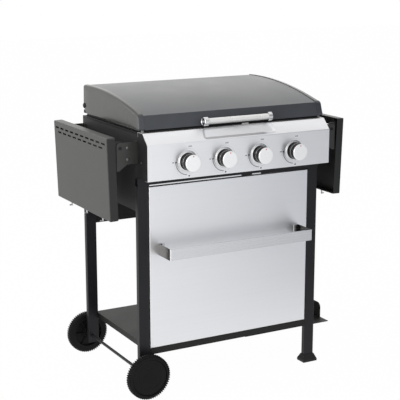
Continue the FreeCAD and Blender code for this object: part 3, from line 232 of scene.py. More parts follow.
# Shapes: outlines are rows of points. They are turned about an axis, or drawn along a line, into grids of
# points, and the grids become pieces.

SMOOTH_ANGLE = 35.0
ALONG_X = ((0, 1, 0), (0, 0, 1))
ALONG_Y = ((1, 0, 0), (0, 0, 1))
SIDES = (("left", -1.0), ("right", 1.0))


def soften(corners, radius, steps=4):
    """A closed outline with its corners eased. Each corner p, with points a and b a radius away on its
    two sides, becomes the curve (1-t)(1-t) a + 2t(1-t) p + tt b. A corner at 0 across, on the axis that
    an outline is turned about, stays as it is."""
    corners = np.asarray(corners, float)
    before = np.roll(corners, 1, axis=0) - corners
    after = np.roll(corners, -1, axis=0) - corners
    run_before = np.linalg.norm(before, axis=1, keepdims=True)
    run_after = np.linalg.norm(after, axis=1, keepdims=True)
    reach = np.minimum(radius, 0.45 * np.minimum(run_before, run_after)) * (corners[:, :1] != 0.0)
    start = (corners + before / run_before * reach)[:, None]
    end = (corners + after / run_after * reach)[:, None]
    t = np.linspace(0.0, 1.0, steps + 1)[None, :, None]
    curve = (1 - t) ** 2 * start + 2 * t * (1 - t) * corners[:, None] + t ** 2 * end
    return curve.reshape(-1, corners.shape[1])


def divide(outline, longest):
    """A closed outline with its long straight runs divided, so that no step is longer than asked."""
    following = np.roll(outline, -1, axis=0)
    counts = np.ceil(np.linalg.norm(following - outline, axis=1) / longest).astype(int).clip(1)
    first = np.repeat(np.arange(len(outline)), counts)
    step = np.arange(counts.sum()) - np.repeat(np.cumsum(counts) - counts, counts)
    share = (step / np.repeat(counts, counts))[:, None]
    return outline[first] * (1 - share) + following[first] * share


def ease(value):
    """0 below 0 and 1 above 1, with the curve tt(3 - 2t) between them."""
    t = np.clip(value, 0.0, 1.0)
    return t * t * (3 - 2 * t)


def turn(outline, steps, centre, way=1.0):
    """An outline of (radius, distance) points carried round an axis along Y through the centre:
    x = radius cos(a), z = radius sin(a), y = way times distance."""
    angle = np.linspace(0.0, 2 * np.pi, steps, endpoint=False)[None, :]
    radius = np.asarray(outline)[:, :1]
    along = np.asarray(outline)[:, 1:] * way
    ring = np.stack(np.broadcast_arrays(radius * np.cos(angle), along, radius * np.sin(angle)), axis=-1)
    return ring + np.asarray(centre, float)


def turn_across(outline, steps, centre, way):
    """An outline of (radius, distance) points carried round an axis along X through the centre:
    y = radius cos(a), z = radius sin(a), x = way times distance."""
    grid = turn(outline, steps, (0.0, 0.0, 0.0), way)
    return grid[..., [1, 0, 2]] + np.asarray(centre, float)


def bar(start, end, side, up, half_width, half_height, rounding):
    """A straight bar between two points, of an eased rectangular section, with its ends drawn to a point
    on the end faces. side and up are the directions across its section: ALONG_X or ALONG_Y for a level
    bar along that axis."""
    section = soften([(-1.0, -1.0), (1.0, -1.0), (1.0, 1.0), (-1.0, 1.0)], rounding)
    ring = section[:, :1] * half_width * np.asarray(side) + section[:, 1:] * half_height * np.asarray(up)
    path = np.array([start, start, end, end], float)
    grow = np.array([0.0, 1.0, 1.0, 0.0])[:, None, None]
    return path[:, None, :] + ring[None] * grow


def add_object(name, data):
    """A new object in the scene, from a mesh, a lamp or a camera."""
    made = bpy.data.objects.new(name, data)
    bpy.context.scene.collection.objects.link(made)
    return made


def skin(name, grids, material, body, smooth_angle=SMOOTH_ANGLE, closed=True):
    """One piece from grids of points, each rows by columns by xyz. Closed grids go round both ways, have
    the points that fall together merged and the faces turned outwards. An open grid is one face of a
    sheet, seen from outside with its columns to the right and its rows upwards."""
    corners = []
    faces = []
    offset = 0
    for grid in grids:
        rows, columns = grid.shape[:2]
        index = np.arange(rows * columns).reshape(rows, columns) + offset
        below = np.roll(index, -1, axis=0)
        quads = np.stack([index, np.roll(index, -1, axis=1), np.roll(below, -1, axis=1), below], axis=-1)
        quads = quads if closed else quads[:-1, :-1]
        corners.append(grid.reshape(-1, 3))
        faces.append(quads.reshape(-1, 4))
        offset += rows * columns
    mesh = bpy.data.meshes.new(name)
    mesh.from_pydata(np.vstack(corners).tolist(), [], np.vstack(faces).tolist())
    if closed:
        shape = bmesh.new()
        shape.from_mesh(mesh)
        bmesh.ops.remove_doubles(shape, verts=shape.verts, dist=1e-6)
        bmesh.ops.dissolve_degenerate(shape, edges=shape.edges, dist=1e-7)
        loose = [edge for edge in shape.edges if not edge.link_faces]
        bmesh.ops.delete(shape, geom=loose, context="EDGES")
        bmesh.ops.recalc_face_normals(shape, faces=shape.faces)
        shape.to_mesh(mesh)
        shape.free()
    mesh.polygons.foreach_set("use_smooth", np.ones(len(mesh.polygons), bool))
    mesh.set_sharp_from_angle(angle=math.radians(smooth_angle))
    mesh.materials.append(material)
    piece = add_object(name, mesh)
    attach(piece, body)
    return piece


# Legs, rail and brackets: thin rectangular steel tube and plate, welded or bolted, with a black
# powder coat. The coat is satin, with a fine orange peel and a slightly cloudy sheen.

black_coat = coat("black_powder_coat", (0.009, 0.009, 0.0115), 0.42, gloss=0.27)
dress(black_coat, "leg_front_left", "leg_rear_left", "leg_front_right", "leg_rear_right", "front_rail",
      "lid_hinge_brackets")


# Feet, axle spacers and panel ends: black plastic, moulded with a fine spark-eroded grain.

black_plastic = moulded("black_moulded_plastic", (0.011, 0.011, 0.012), 0.5)
dress(black_plastic, "feet", "axle_spacers", "control_panel_ends")


# Axle and nuts: a steel rod in the same black coat as the legs, with nuts in a dark zinc plate. The plate
# has a faint spangle.

dark_zinc = plated("dark_zinc_plate", (0.12, 0.12, 0.12), 0.42)
dress(black_coat, "axle")
dress(dark_zinc, "axle_nuts")


# Wheels: one black plastic moulding each, with two staggered rows of lugs round the tread, a ribbed web
# and a hub on the inner side, and a pressed disc cover with rings on the outer side.

LUGS = 60
LUG_STEPS = 8
LUG_DEPTH = 0.0042
LUG_FOOT_RADIUS = 0.064
LUG_RUN_IN = 0.0085
LUG_HALF_GROOVE = 0.0012
LUG_EDGE_START = -0.1
LUG_EDGE_RUN = 0.4
WHEEL_RADIUS = 0.075
WHEEL_WIDTH = 0.028
SHOULDER_RADIUS = 0.0708
SHOULDER_RUN = 0.0045
RIM_RADIUS = 0.061
HUB_RADIUS = 0.017
HUB_END = 0.023
DISH_RADIUS = 0.049
BORE_RADIUS = 0.00505
WEB_INNER = 0.009
WEB_OUTER = 0.015
NUT_WELL_RADIUS = 0.0105
NUT_WELL_FLOOR = 0.014
COVER_STEPS = 96
RIBS = 6
RIB_START = 0.0165
RIB_END = 0.0495
RIB_MIDDLE = 0.0062
RIB_HALF_GAUGE = 0.0019
RIB_HALF_WIDTH = 0.0034
wheel_outline = divide(soften([
    (BORE_RADIUS, 0.0), (HUB_RADIUS, 0.0), (HUB_RADIUS, WEB_INNER), (DISH_RADIUS, WEB_INNER),
    (DISH_RADIUS, 0.0), (SHOULDER_RADIUS, 0.0), (WHEEL_RADIUS, SHOULDER_RUN),
    (WHEEL_RADIUS, WHEEL_WIDTH - SHOULDER_RUN), (SHOULDER_RADIUS, WHEEL_WIDTH), (RIM_RADIUS, WHEEL_WIDTH),
    (RIM_RADIUS, WEB_OUTER), (HUB_RADIUS, WEB_OUTER), (HUB_RADIUS, HUB_END), (NUT_WELL_RADIUS, HUB_END),
    (NUT_WELL_RADIUS, NUT_WELL_FLOOR), (BORE_RADIUS, NUT_WELL_FLOOR),
], radius=0.0012, steps=3), longest=0.0016)
cover_outline = soften([
    (0.0, 0.023), (0.0607, 0.023), (0.0607, 0.0252), (0.057, 0.0262), (0.0525, 0.0248), (0.048, 0.0262),
    (0.036, 0.0264), (0.0335, 0.025), (0.031, 0.0266), (0.0, 0.0272),
], radius=0.0012, steps=3)


def lugged(grid, centre, inner, way):
    """Sink the tread between the lugs. A lug stands where the cosine of LUGS times the angle is high, the
    outer row half a pitch on from the inner one, with a plain groove between the rows. The gaps run out
    over the shoulders on to the sides of the wheel."""
    across = grid[..., 0] - centre[0]
    up = grid[..., 2] - centre[2]
    radius = np.hypot(across, up)
    angle = np.arctan2(up, across)
    from_middle = (grid[..., 1] - inner) * way - WHEEL_WIDTH / 2
    wave = np.cos(LUGS * angle + np.pi * (from_middle > 0.0))
    lug = np.clip((wave - LUG_EDGE_START) / LUG_EDGE_RUN, 0.0, 1.0) * (np.abs(from_middle) > LUG_HALF_GROOVE)
    on_tread = np.clip((radius - LUG_FOOT_RADIUS) / LUG_RUN_IN, 0.0, 1.0)
    sunk = radius - LUG_DEPTH * (1 - lug) * on_tread
    grid[..., 0] = centre[0] + across * sunk / radius
    grid[..., 2] = centre[2] + up * sunk / radius
    return grid


rubber_black = moulded("wheel_plastic", (0.0045, 0.0045, 0.0048), 0.5, grain_scale=1100.0, gloss=0.15)
axle_low, axle_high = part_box("axle")
axle_x = (axle_low.x + axle_high.x) / 2
axle_z = (axle_low.z + axle_high.z) / 2
for end, way in (("front", -1.0), ("rear", 1.0)):
    low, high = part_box(f"wheel_{end}")
    inner = high.y if way < 0 else low.y
    hub = (axle_x, inner, axle_z)
    rib_middle = np.array(hub) + np.array([0.0, way * RIB_MIDDLE, 0.0])
    grids = [lugged(turn(wheel_outline, LUGS * LUG_STEPS, hub, way), hub, inner, way)]
    for angle in np.arange(RIBS) * 2 * np.pi / RIBS:
        out = np.array([math.cos(angle), 0.0, math.sin(angle)])
        side = np.array([-math.sin(angle), 0.0, math.cos(angle)])
        grids.append(bar(rib_middle + out * RIB_START, rib_middle + out * RIB_END, side, (0, 1, 0),
                         RIB_HALF_GAUGE, RIB_HALF_WIDTH, rounding=0.3))
    wheel = skin(f"lugged_wheel_{end}", grids, rubber_black, f"{end}_wheel")
    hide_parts(f"wheel_{end}")
    ringed = turn(cover_outline, COVER_STEPS, hub, way)
    cover = skin(f"ringed_cover_{end}", [ringed], rubber_black, f"{end}_wheel")
    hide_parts(f"wheel_cover_{end}")


# Bottom shelf and bottle tray: folded sheet steel with a black coat, a little browner and more worn by
# what stands on them.

deck_coat = coat("deck_powder_coat", (0.0095, 0.0098, 0.009), 0.5, peel_scale=420.0, peel_depth=0.00016,
                 gloss=0.25)
dress(deck_coat, "bottom_shelf", "bottle_tray")


# Firebox: sheet steel sides, wall and back, bolted to the legs, in a flat heat-proof black.

heat_coat = coat("heatproof_black", (0.018, 0.018, 0.019), 0.58, peel_scale=900.0, peel_depth=0.0001)
dress(heat_coat, "side_panel_left", "side_panel_right", "rear_panel", "front_wall", "tray_runners")


# Edge trim: a black strip shaped as a channel of rubber over the top edge of each side of the firebox, as
# painted shade of the gap under the lid.

EDGE_SHADE_HALF_WIDTH = 0.0022
EDGE_SHADE_HALF_HEIGHT = 0.0038
EDGE_SHADE_INSET = 0.0008
EDGE_SHADE_DROP = 0.0014
EDGE_SHADE_FRONT_GAP = 0.003
EDGE_SHADE_BACK_GAP = 0.034
# Black rubber for the hinge bolt heads and tabs, also used for the black strips that paint the shade under
# the lid's edges.
black_rubber_and_shade = moulded("black_rubber_and_painted_shade", (0.004, 0.004, 0.0042), 0.6, grain_scale=900.0)
edge_shades = []
for side_name, side in SIDES:
    low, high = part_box(f"side_panel_{side_name}")
    edge_x = (low.x if side < 0 else high.x) - side * EDGE_SHADE_INSET
    edge_z = high.z - EDGE_SHADE_DROP
    edge_shades.append(bar((edge_x, low.y + EDGE_SHADE_FRONT_GAP, edge_z), (edge_x, high.y - EDGE_SHADE_BACK_GAP, edge_z),
                     *ALONG_Y, EDGE_SHADE_HALF_WIDTH, EDGE_SHADE_HALF_HEIGHT, rounding=0.4))
edge_shade_strip = skin("firebox_edge_shade_strip", edge_shades, black_rubber_and_shade, "cart")


# Burners and flame tamers: plain stainless tube and bent sheet, straw and blue where the heat has
# tinted them.

heat_steel, heat_flow = new_finish("heat_tinted_steel", (0.42, 0.4, 0.38), 0.38, metallic=1.0)
feed(heat_steel, "Base Color", heat_flow.node("ShaderNodeValToRGB", {"stops": [
    (0.32, (0.45, 0.44, 0.43)), (0.48, (0.46, 0.38, 0.26)),
    (0.58, (0.3, 0.24, 0.25)), (0.7, (0.4, 0.41, 0.44)),
]}, {"Fac": grain(heat_flow, 9.0, detail=3.0)}))
heat_streak = grain(heat_flow, 1.0, detail=3.0, stretch=(900.0, 8.0, 900.0))
feed(heat_steel, "Roughness", 0.3 + heat_streak * 0.2)
relief(heat_steel, heat_streak, strength=0.1, depth=0.0001)
dress(heat_steel, "burners", "flame_tamers")


# Grates: cast iron with a matt black enamel, which keeps the sandy skin of the casting.

cast_iron, iron_flow = new_finish("enamelled_cast_iron", (0.02, 0.02, 0.021), 0.6)
sand = grain(iron_flow, 380.0, detail=4.0)
feed(cast_iron, "Base Color", shades(sand, (0.014, 0.014, 0.015), (0.032, 0.031, 0.03)))
feed(cast_iron, "Roughness", 0.45 + sand * 0.3)
relief(cast_iron, sand, strength=0.5, depth=0.0004)
dress(cast_iron, "grate_left", "grate_right")


# Grease tray: zinc-plated sheet, folded and spot welded, with a turned lip as its grip.

zinc = plated("zinc_plate", (0.5, 0.5, 0.51), 0.36)
dress(zinc, "grease_tray")


# Gas pipe, valves and spindles: drawn steel pipe, and turned brass valves with a plug each.

brass, brass_flow = new_finish("turned_brass", (0.68, 0.5, 0.2), 0.32, metallic=1.0)
lathe_marks = grain(brass_flow, 1.0, stretch=(60.0, 2600.0, 60.0))
tarnish = grain(brass_flow, 60.0, detail=3.0)
feed(brass, "Base Color", shades(tarnish, (0.5, 0.36, 0.14), (0.74, 0.56, 0.25)))
feed(brass, "Roughness", 0.22 + lathe_marks * 0.24)
relief(brass, lathe_marks, strength=0.12, depth=0.00006)
pipe_steel = plated("drawn_pipe_steel", (0.4, 0.4, 0.41), 0.34)
dress(pipe_steel, "gas_manifold", "gas_inlet")
dress(brass, "gas_valves", *[f"{piece}_{i}" for piece in ("spindle", "valve_plug") for i in range(1, 5)])


# Front panel and bar handle: stainless sheet and strap, brushed level. The panel is a shallow pan that
# stands on the shelf. The strap is bent round at its ends and screwed through the panel; its ends carry
# painted shade, darker than its front, and darkest inside.

BAR_GAUGE = 0.003
BAR_END_SHADE = (0.222, 0.215, 0.205)
BAR_INSIDE_SHADE = (0.09, 0.09, 0.085)
stainless = brushed("brushed_stainless", (0.83, 0.832, 0.85), 0.32)
bar_stainless = brushed("brushed_strap", (0.68, 0.68, 0.695), 0.27)
bar_low, bar_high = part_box("panel_handle")
bar_x, bar_y, _ = coordinates(bar_stainless)
# Painted shade on the strap's bent ends: a dark grey on their inner faces, a lighter grey on their outer
# faces.
inside_end = (abs(bar_x) > bar_high.x - 4 * BAR_GAUGE) * (abs(bar_x) < bar_high.x - BAR_GAUGE / 2)
overlay(bar_stainless, inside_end * (bar_y > bar_low.y + 2 * BAR_GAUGE), BAR_INSIDE_SHADE)
outside_end = abs(bar_x) > bar_high.x - BAR_GAUGE / 2
overlay(bar_stainless, outside_end * (bar_y > bar_low.y + BAR_GAUGE), BAR_END_SHADE)
dress(stainless, "front_panel")
dress(bar_stainless, "panel_handle")


# Strips on the rail's lower edge: two lengths of bright trim above the front panel, which catch the light.

STRIP_RUNS = ((-0.302, 0.0375), (0.0794, 0.1134))
STRIP_HALF_GAUGE = 0.0004
STRIP_HALF_HEIGHT = 0.0018
STRIP_RISE = 0.0026
rail_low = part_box("front_rail")[0]
strip_y = rail_low.y - STRIP_HALF_GAUGE
strip_z = rail_low.z + STRIP_RISE
strips = [
    bar((x_low, strip_y, strip_z), (x_high, strip_y, strip_z), *ALONG_X, STRIP_HALF_GAUGE, STRIP_HALF_HEIGHT,
        rounding=0.3)
    for x_low, x_high in STRIP_RUNS
]
flange_strips = skin("panel_flange_strips", strips, stainless, "cart")


# Control panel: one folded stainless sheet, brushed level, with moulded ends and a finger recess pressed
# into its slope. A dial is printed in black round each knob: a bar for off at the top, an arc from the
# left mark to the bottom mark, and a fine grey circle. Bars are given as across, up, half width, half
# height and ink, and dots as across, up and radius, from the knob's middle.

panel_low, panel_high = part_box("control_panel")
PANEL_FACE = panel_low.y
PANEL_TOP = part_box("lid_buffers")[0].z
PANEL_METAL = 0.88
KNOB_PITCH = 0.133
KNOB_HEIGHT = 0.782
INK = (0.02, 0.02, 0.022)
INK_REACH = 0.0004
ARC_RADIUS = 0.0425
ARC_HALF_WIDTH = 0.0008
ARC_END = -0.003
CIRCLE_RADIUS = 0.0408
CIRCLE_HALF_WIDTH = 0.0003
CIRCLE_INK = 0.35
BAR_MARKS = ((0.009, 0.0475, 0.0062, 0.0021, 0.5), (-0.0515, 0.0, 0.0036, 0.0011, 1.0))
DOT_MARKS = ((-0.042, 0.0, 0.0027), (0.005, -0.0465, 0.0026))


def from_knob(x):
    """Distance across from the middle of the nearest knob. The knobs stand at odd halves of the pitch."""
    return (x.maths("FRACT", x / KNOB_PITCH) - 0.5) * KNOB_PITCH


def length(u, v):
    """Distance of the point (u, v) from 0."""
    return u.maths("SQRT", u * u + v * v)


def between(value, middle, half):
    """1 where the value is within half of the middle."""
    return abs(value - middle) < half


printed = brushed("printed_stainless", (0.86, 0.862, 0.88), 0.34)
panel_x, panel_y, panel_z = coordinates(printed)
dial_x = from_knob(panel_x)
dial_z = panel_z - KNOB_HEIGHT
dial_radius = length(dial_x, dial_z)
marks = between(dial_radius, ARC_RADIUS, ARC_HALF_WIDTH) * (dial_x < ARC_END) * (dial_z < 0.0)
marks = marks + between(dial_radius, CIRCLE_RADIUS, CIRCLE_HALF_WIDTH) * CIRCLE_INK
for across, up, half_width, half_height, strength in BAR_MARKS:
    marks = marks + between(dial_x, across, half_width) * between(dial_z, up, half_height) * strength
for across, up, size in DOT_MARKS:
    marks = marks + (length(dial_x - across, dial_z - up) < size)
on_face = (panel_y < PANEL_FACE + INK_REACH) * (abs(panel_x) < 2 * KNOB_PITCH)
ink = panel_x.maths("MINIMUM", marks * on_face, 1.0)
overlay(printed, ink, INK)
feed(printed, "Metallic", (1 - ink) * PANEL_METAL)

SHEET = 0.0015
SLOPE = 0.034
RETURN = 0.02
LIP = 0.014
FOLD_RADIUS = 0.0025
FOLD_STEPS = 5
SECTION_STEP = 0.001
RECESS_HALF = 0.141
RECESS_TAPER = 0.0095
RECESS_START = 0.004
RECESS_CORNER = 0.018
RECESS_FOOT = 0.0075
RECESS_WALL = 0.014
RECESS_DEPTH = 0.0125
RECESS_RISE = 0.0085
WALL_BAND = (0.112, 0.1415)
WALL_COLUMNS = 36
EVEN_COLUMNS = 35
folds = np.array([
    (panel_low.y + RETURN, panel_low.z), (panel_low.y, panel_low.z), (panel_low.y, PANEL_TOP - SLOPE),
    (panel_low.y + SLOPE, PANEL_TOP), (panel_high.y, PANEL_TOP), (panel_high.y, PANEL_TOP - LIP),
])
bends = soften(folds, FOLD_RADIUS, FOLD_STEPS).reshape(len(folds), FOLD_STEPS + 1, 2)[1:-1]
section = divide(np.vstack([folds[:1], bends.reshape(-1, 2), folds[-1:]]), SECTION_STEP)
section = section[:np.argmin(np.linalg.norm(section - folds[-1], axis=1)) + 1]


def pressed(section, columns):
    """The folded section carried along X, with the recess sunk straight back. The recess is open at the top
    edge, and has a soft foot, round lower corners and side walls that close in upwards: its depth is eased
    in from each side and up from the foot, whose start rises in a quarter circle near the sides. Its floor
    is steeper than the slope, so the depth falls evenly up the slope, then to nothing over the flat top."""
    up_slope = ((section[:, 0] - folds[2, 0]) + (section[:, 1] - folds[2, 1])) / math.sqrt(2.0)
    height = np.clip(up_slope / (SLOPE * math.sqrt(2.0)), 0.0, 1.0)[:, None]
    inside = RECESS_HALF - np.abs(columns)
    into_corner = np.clip(1 - inside / RECESS_CORNER, 0.0, 1.0)
    start = RECESS_START + RECESS_CORNER * (1 - np.sqrt(1 - into_corner ** 2))
    from_side = ease((inside[None, :] - RECESS_TAPER * height) / RECESS_WALL)
    from_foot = ease((up_slope[:, None] - start[None, :]) / RECESS_FOOT)
    back = np.clip((section[:, 0] - folds[3, 0]) / (folds[4, 0] - folds[3, 0]), 0.0, 1.0)[:, None]
    sunk = (RECESS_DEPTH - RECESS_RISE * height) * from_side * from_foot * (1 - back)
    sunk = sunk * (section[:, 1] > folds[2, 1])[:, None]
    return np.stack(np.broadcast_arrays(columns[None, :], section[:, :1] + sunk, section[:, 1:]), axis=-1)


near_wall = np.linspace(*WALL_BAND, WALL_COLUMNS)
panel_columns = np.linspace(panel_low.x, panel_high.x, EVEN_COLUMNS)
panel_columns = np.unique(np.round(np.concatenate([panel_columns, near_wall, -near_wall]), 5))
panel_sheet = pressed(section, panel_columns)
pressed_panel = skin("pressed_control_panel", [panel_sheet], printed, "cart", closed=False)
gauge = pressed_panel.modifiers.new("sheet_gauge", "SOLIDIFY")
gauge.thickness = SHEET
gauge.offset = -1.0
thickened = pressed_panel.evaluated_get(bpy.context.evaluated_depsgraph_get())
pressed_panel.data = bpy.data.meshes.new_from_object(thickened)
pressed_panel.modifiers.clear()
pressed_panel.data.set_sharp_from_angle(angle=math.radians(SMOOTH_ANGLE))
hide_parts("control_panel")

END_SCREW_PLACE = (-0.2118, 0.7824)
END_SCREW_STEPS = 32
end_head = soften([
    (0.0, -0.001), (0.0031, -0.001), (0.0031, 0.0007), (0.0022, 0.0016), (0.0, 0.0018),
], radius=0.0005, steps=3)
caps_low, caps_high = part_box("control_panel_ends")
end_screws = skin("panel_end_screws", [
    turn_across(end_head, END_SCREW_STEPS, (x, *END_SCREW_PLACE), way)
    for x, way in ((caps_low.x, -1.0), (caps_high.x, 1.0))
], dark_zinc, "cart")


# Knobs: a chromed ring on the panel, a black moulded skirt and a long neck with ridges and a plated bead,
# and a thin bright turned cap with a red pointer dot pressed in at its top edge. Outlines are points of
# radius and distance from the panel.

chrome, chrome_flow = new_finish("polished_chrome", (0.72, 0.72, 0.73), 0.08, metallic=1.0)
smudge = grain(chrome_flow, 40.0, detail=3.0)
feed(chrome, "Roughness", 0.05 + smudge * 0.1)
feed(chrome, "Base Color", shades(smudge, (0.68, 0.68, 0.69), (0.76, 0.76, 0.77)))
relief(chrome, grain(chrome_flow, 120.0), strength=0.03, depth=0.0001)

knob_black = moulded("knob_black_plastic", (0.005, 0.005, 0.0055), 0.22, grain_scale=1600.0)
bead_zinc = plated("knob_bead_zinc", (0.42, 0.42, 0.42), 0.3)
cap_metal, cap_flow = new_finish("turned_cap_metal", (0.97, 0.97, 0.975), 0.32, metallic=0.6)
cap_x, _, cap_z = coordinates(cap_metal)
cap_radius = length(from_knob(cap_x), cap_z - KNOB_HEIGHT)
rings = cap_flow.node("ShaderNodeTexNoise", {"noise_dimensions": "1D"}, {"W": cap_radius, "Scale": 2600.0})
feed(cap_metal, "Base Color", shades(rings, (0.95, 0.95, 0.955), (0.985, 0.985, 0.99)))
feed(cap_metal, "Roughness", 0.24 + rings * 0.14)
relief(cap_metal, rings, strength=0.06, depth=0.00005)
pointer_red, red_flow = new_finish("pointer_red", (0.62, 0.03, 0.03), 0.3)
red_cloud = grain(red_flow, 400.0)
feed(pointer_red, "Base Color", shades(red_cloud, (0.55, 0.02, 0.02), (0.7, 0.045, 0.04)))
feed(pointer_red, "Roughness", 0.25 + red_cloud * 0.15)

RING_STEPS = 96
SKIRT_STEPS = 128
DOT_STEPS = 24
knob_x = [KNOB_PITCH * step for step in (-1.5, -0.5, 0.5, 1.5)]
bezel_outline = soften([
    (0.011, 0.0), (0.035, 0.0), (0.0349, 0.0004), (0.0326, 0.0016), (0.032, 0.0009), (0.0314, 0.0017),
    (0.0287, 0.0029), (0.0275, 0.0027), (0.011, 0.0025),
], radius=0.0005, steps=4)
bezels = skin("chromed_rings", [
    turn(bezel_outline, RING_STEPS, (x, PANEL_FACE, KNOB_HEIGHT), -1.0) for x in knob_x
], chrome, "cart")
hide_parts("knob_bezels")

NECK_RADIUS = 0.02595
NECK_START = 0.0172
NECK_END = 0.034
RIDGE_PITCH = 0.0044
RIDGE_DEPTH = 0.0009
RIDGE_RUNS = (0.0, 0.003, 0.0034, 0.004)
RIDGE_SINKS = (0.0, 0.0, 1.0, 1.0)
SKIRT_BORE = 0.00405
SKIRT_RADIUS = 0.0275
POINTER_RISE = 0.0212
ridge_steps = np.arange(NECK_START, NECK_END, RIDGE_PITCH)[:, None] + np.array(RIDGE_RUNS)
ridge_radii = NECK_RADIUS - RIDGE_DEPTH * np.array(RIDGE_SINKS)
ridges = np.stack(np.broadcast_arrays(ridge_radii[None, :], ridge_steps), axis=-1).reshape(-1, 2)
skirt_outline = soften(np.vstack([
    [(SKIRT_BORE, 0.008), (0.027, 0.008), (SKIRT_RADIUS, 0.0085), (SKIRT_RADIUS, 0.0146), (0.0259, 0.0164),
     (0.0252, 0.0166)],
    ridges, [(0.0252, 0.0352), (SKIRT_BORE, 0.0352)],
]), radius=0.0004, steps=3)
bead_outline = soften([
    (0.0255, 0.0166), (0.0263, 0.0166), (0.0266, 0.0171), (0.0263, 0.0179), (0.0255, 0.0179),
], radius=0.0003, steps=3)
cap_outline = soften([
    (0.0, 0.035), (0.0262, 0.035), (0.0267, 0.0355), (0.0267, 0.0382), (0.0255, 0.0393), (0.0232, 0.0395),
    (0.0, 0.0394),
], radius=0.0008, steps=5)
dot_outline = soften([(0.0, 0.039), (0.0022, 0.039), (0.002, 0.0396), (0.0, 0.0398)], radius=0.0003, steps=3)

for i, x in enumerate(knob_x, start=1):
    centre = (x, PANEL_FACE, KNOB_HEIGHT)
    shape = turn(skirt_outline, SKIRT_STEPS, centre, -1.0)
    skirt = skin(f"knob_skirt_{i}", [shape], knob_black, f"control_{i}")
    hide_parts(f"knob_{i}")
    shape = turn(bead_outline, RING_STEPS, centre, -1.0)
    bead = skin(f"knob_bead_{i}", [shape], bead_zinc, f"control_{i}")
    shape = turn(cap_outline, RING_STEPS, centre, -1.0)
    cap = skin(f"knob_cap_{i}", [shape], cap_metal, f"control_{i}")
    shape = turn(dot_outline, DOT_STEPS, (x, PANEL_FACE, KNOB_HEIGHT + POINTER_RISE), -1.0)
    dot = skin(f"knob_pointer_{i}", [shape], pointer_red, f"control_{i}")


# Lid: a curved steel sheet between two pressed ends, in a dark grey semi-gloss enamel. The ends are in a
# warmer copy of it, painted warm light from the left, which turns to the sheet's bluer colour along their
# front. They lean out towards their lower front corner, have a round rim, and carry the black heads of the
# hinge bolts, a small black tab at the back, and below them a black strip that paints the shade of the gap
# under the lid.

LID_ENAMEL = (0.05, 0.0545, 0.0645)
END_WARM_LIT_ENAMEL = (0.046, 0.0464, 0.0432)
FRONT_BAND = 0.02
FRONT_FADE = 0.008
LID_FLARE = 0.009
LID_RIM = 0.009
LID_EDGE = 0.0035
LID_RIM_RISE = 0.016
LID_RIM_STEPS = 7
LID_FRONT_BLEND = 0.04
LID_CROWN = 0.0181
LID_FRONT_HEIGHT = 0.046
LID_BACK_HEIGHT = 0.0965
LID_LEAN = 0.011
LID_CORNER = 0.009
HEEL_RUN = 0.033
HEEL_RISE = 0.017
CROWN_CLEAR = 0.003
CROWN_FADE = 0.006
lid_coat = coat("lid_enamel", LID_ENAMEL, 0.32, peel_scale=520.0, peel_depth=0.0001, gloss=0.5)
# Painted warm light: the ends take a warmer copy of the lid's colour, which blends back to it along their
# front.
warm_lit_end_coat = coat("lid_end_enamel_warm_lit", END_WARM_LIT_ENAMEL, 0.22, peel_scale=520.0, peel_depth=0.0001, gloss=0.5)
end_y = coordinates(warm_lit_end_coat)[1]
at_front = (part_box("lid_end_right")[0].y + FRONT_BAND - end_y) / FRONT_FADE
overlay(warm_lit_end_coat, at_front.clamped(), LID_ENAMEL)
dress(lid_coat, "lid_shell")
dress(black_coat, "lid_hinge_bolts")
end_low, end_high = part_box("lid_end_right")
lid_corners = np.array([
    (end_low.y, end_low.z), (end_high.y - HEEL_RUN, end_low.z), (end_high.y, end_low.z + HEEL_RISE),
    (end_high.y, end_low.z + LID_BACK_HEIGHT), (end_low.y + LID_LEAN, end_low.z + LID_FRONT_HEIGHT),
])
end_outline = divide(soften(lid_corners, LID_CORNER, steps=6), longest=0.006)
chord = lid_corners[4] - lid_corners[3]
from_back = end_outline - lid_corners[3]
share = from_back @ chord / (chord @ chord)
off_chord = np.abs(from_back @ np.array([-chord[1], chord[0]])) / np.linalg.norm(chord)
near_top = 1 - ease((off_chord - CROWN_CLEAR) / CROWN_FADE)
end_outline[:, 1] += LID_CROWN * (4 * share * (1 - share)).clip(0.0) * near_top


def end_face(points):
    """Distance of an end's outer face from the middle of the lid: further out by a flare that doubles from
    the crown to the bottom, and is under half as much at the back as at the front."""
    drop = (end_high.z - points[..., 1]) / (end_high.z - end_low.z)
    forward = (end_high.y - points[..., 0]) / (end_high.y - end_low.y)
    return end_high.x + LID_FLARE * (0.5 + 0.5 * drop) * (0.4 + 0.6 * forward)


def pressed_end(outline, side):
    """One end of the lid: its outline drawn out along X to a rim of quarter-round section, smaller at the
    bottom and the front, then in rings that close on the middle of the outer face. The inner face closes
    the same way at the shell."""
    along = np.roll(outline, -1, axis=0) - np.roll(outline, 1, axis=0)
    inward = np.stack([-along[:, 1], along[:, 0]], axis=-1) / np.linalg.norm(along, axis=1, keepdims=True)
    middle = outline.mean(axis=0)
    turn_angle = np.linspace(0.0, np.pi / 2, LID_RIM_STEPS)[:, None]
    rim_radius = LID_EDGE + (LID_RIM - LID_EDGE) * ease((outline[:, 1] - end_low.z) / LID_RIM_RISE)
    rim_radius = rim_radius * (0.5 + 0.5 * ease((outline[:, 0] - end_low.y) / LID_FRONT_BLEND))
    rim = outline[None] + inward[None] * (rim_radius[None, :] * (1 - np.cos(turn_angle)))[..., None]
    rim_x = end_face(rim) - rim_radius[None, :] * (1 - np.sin(turn_angle))
    shrink = np.array([0.75, 0.5, 0.25, 0.0])[:, None, None]
    face = middle + (rim[-1:] - middle) * shrink
    inner = middle + (outline[None] - middle) * np.array([0.0, 1.0])[:, None, None]
    points = np.concatenate([inner, rim, face])
    x = np.concatenate([np.full(inner.shape[:2], end_low.x), rim_x, end_face(face)])
    return np.concatenate([side * x[..., None], points], axis=-1)


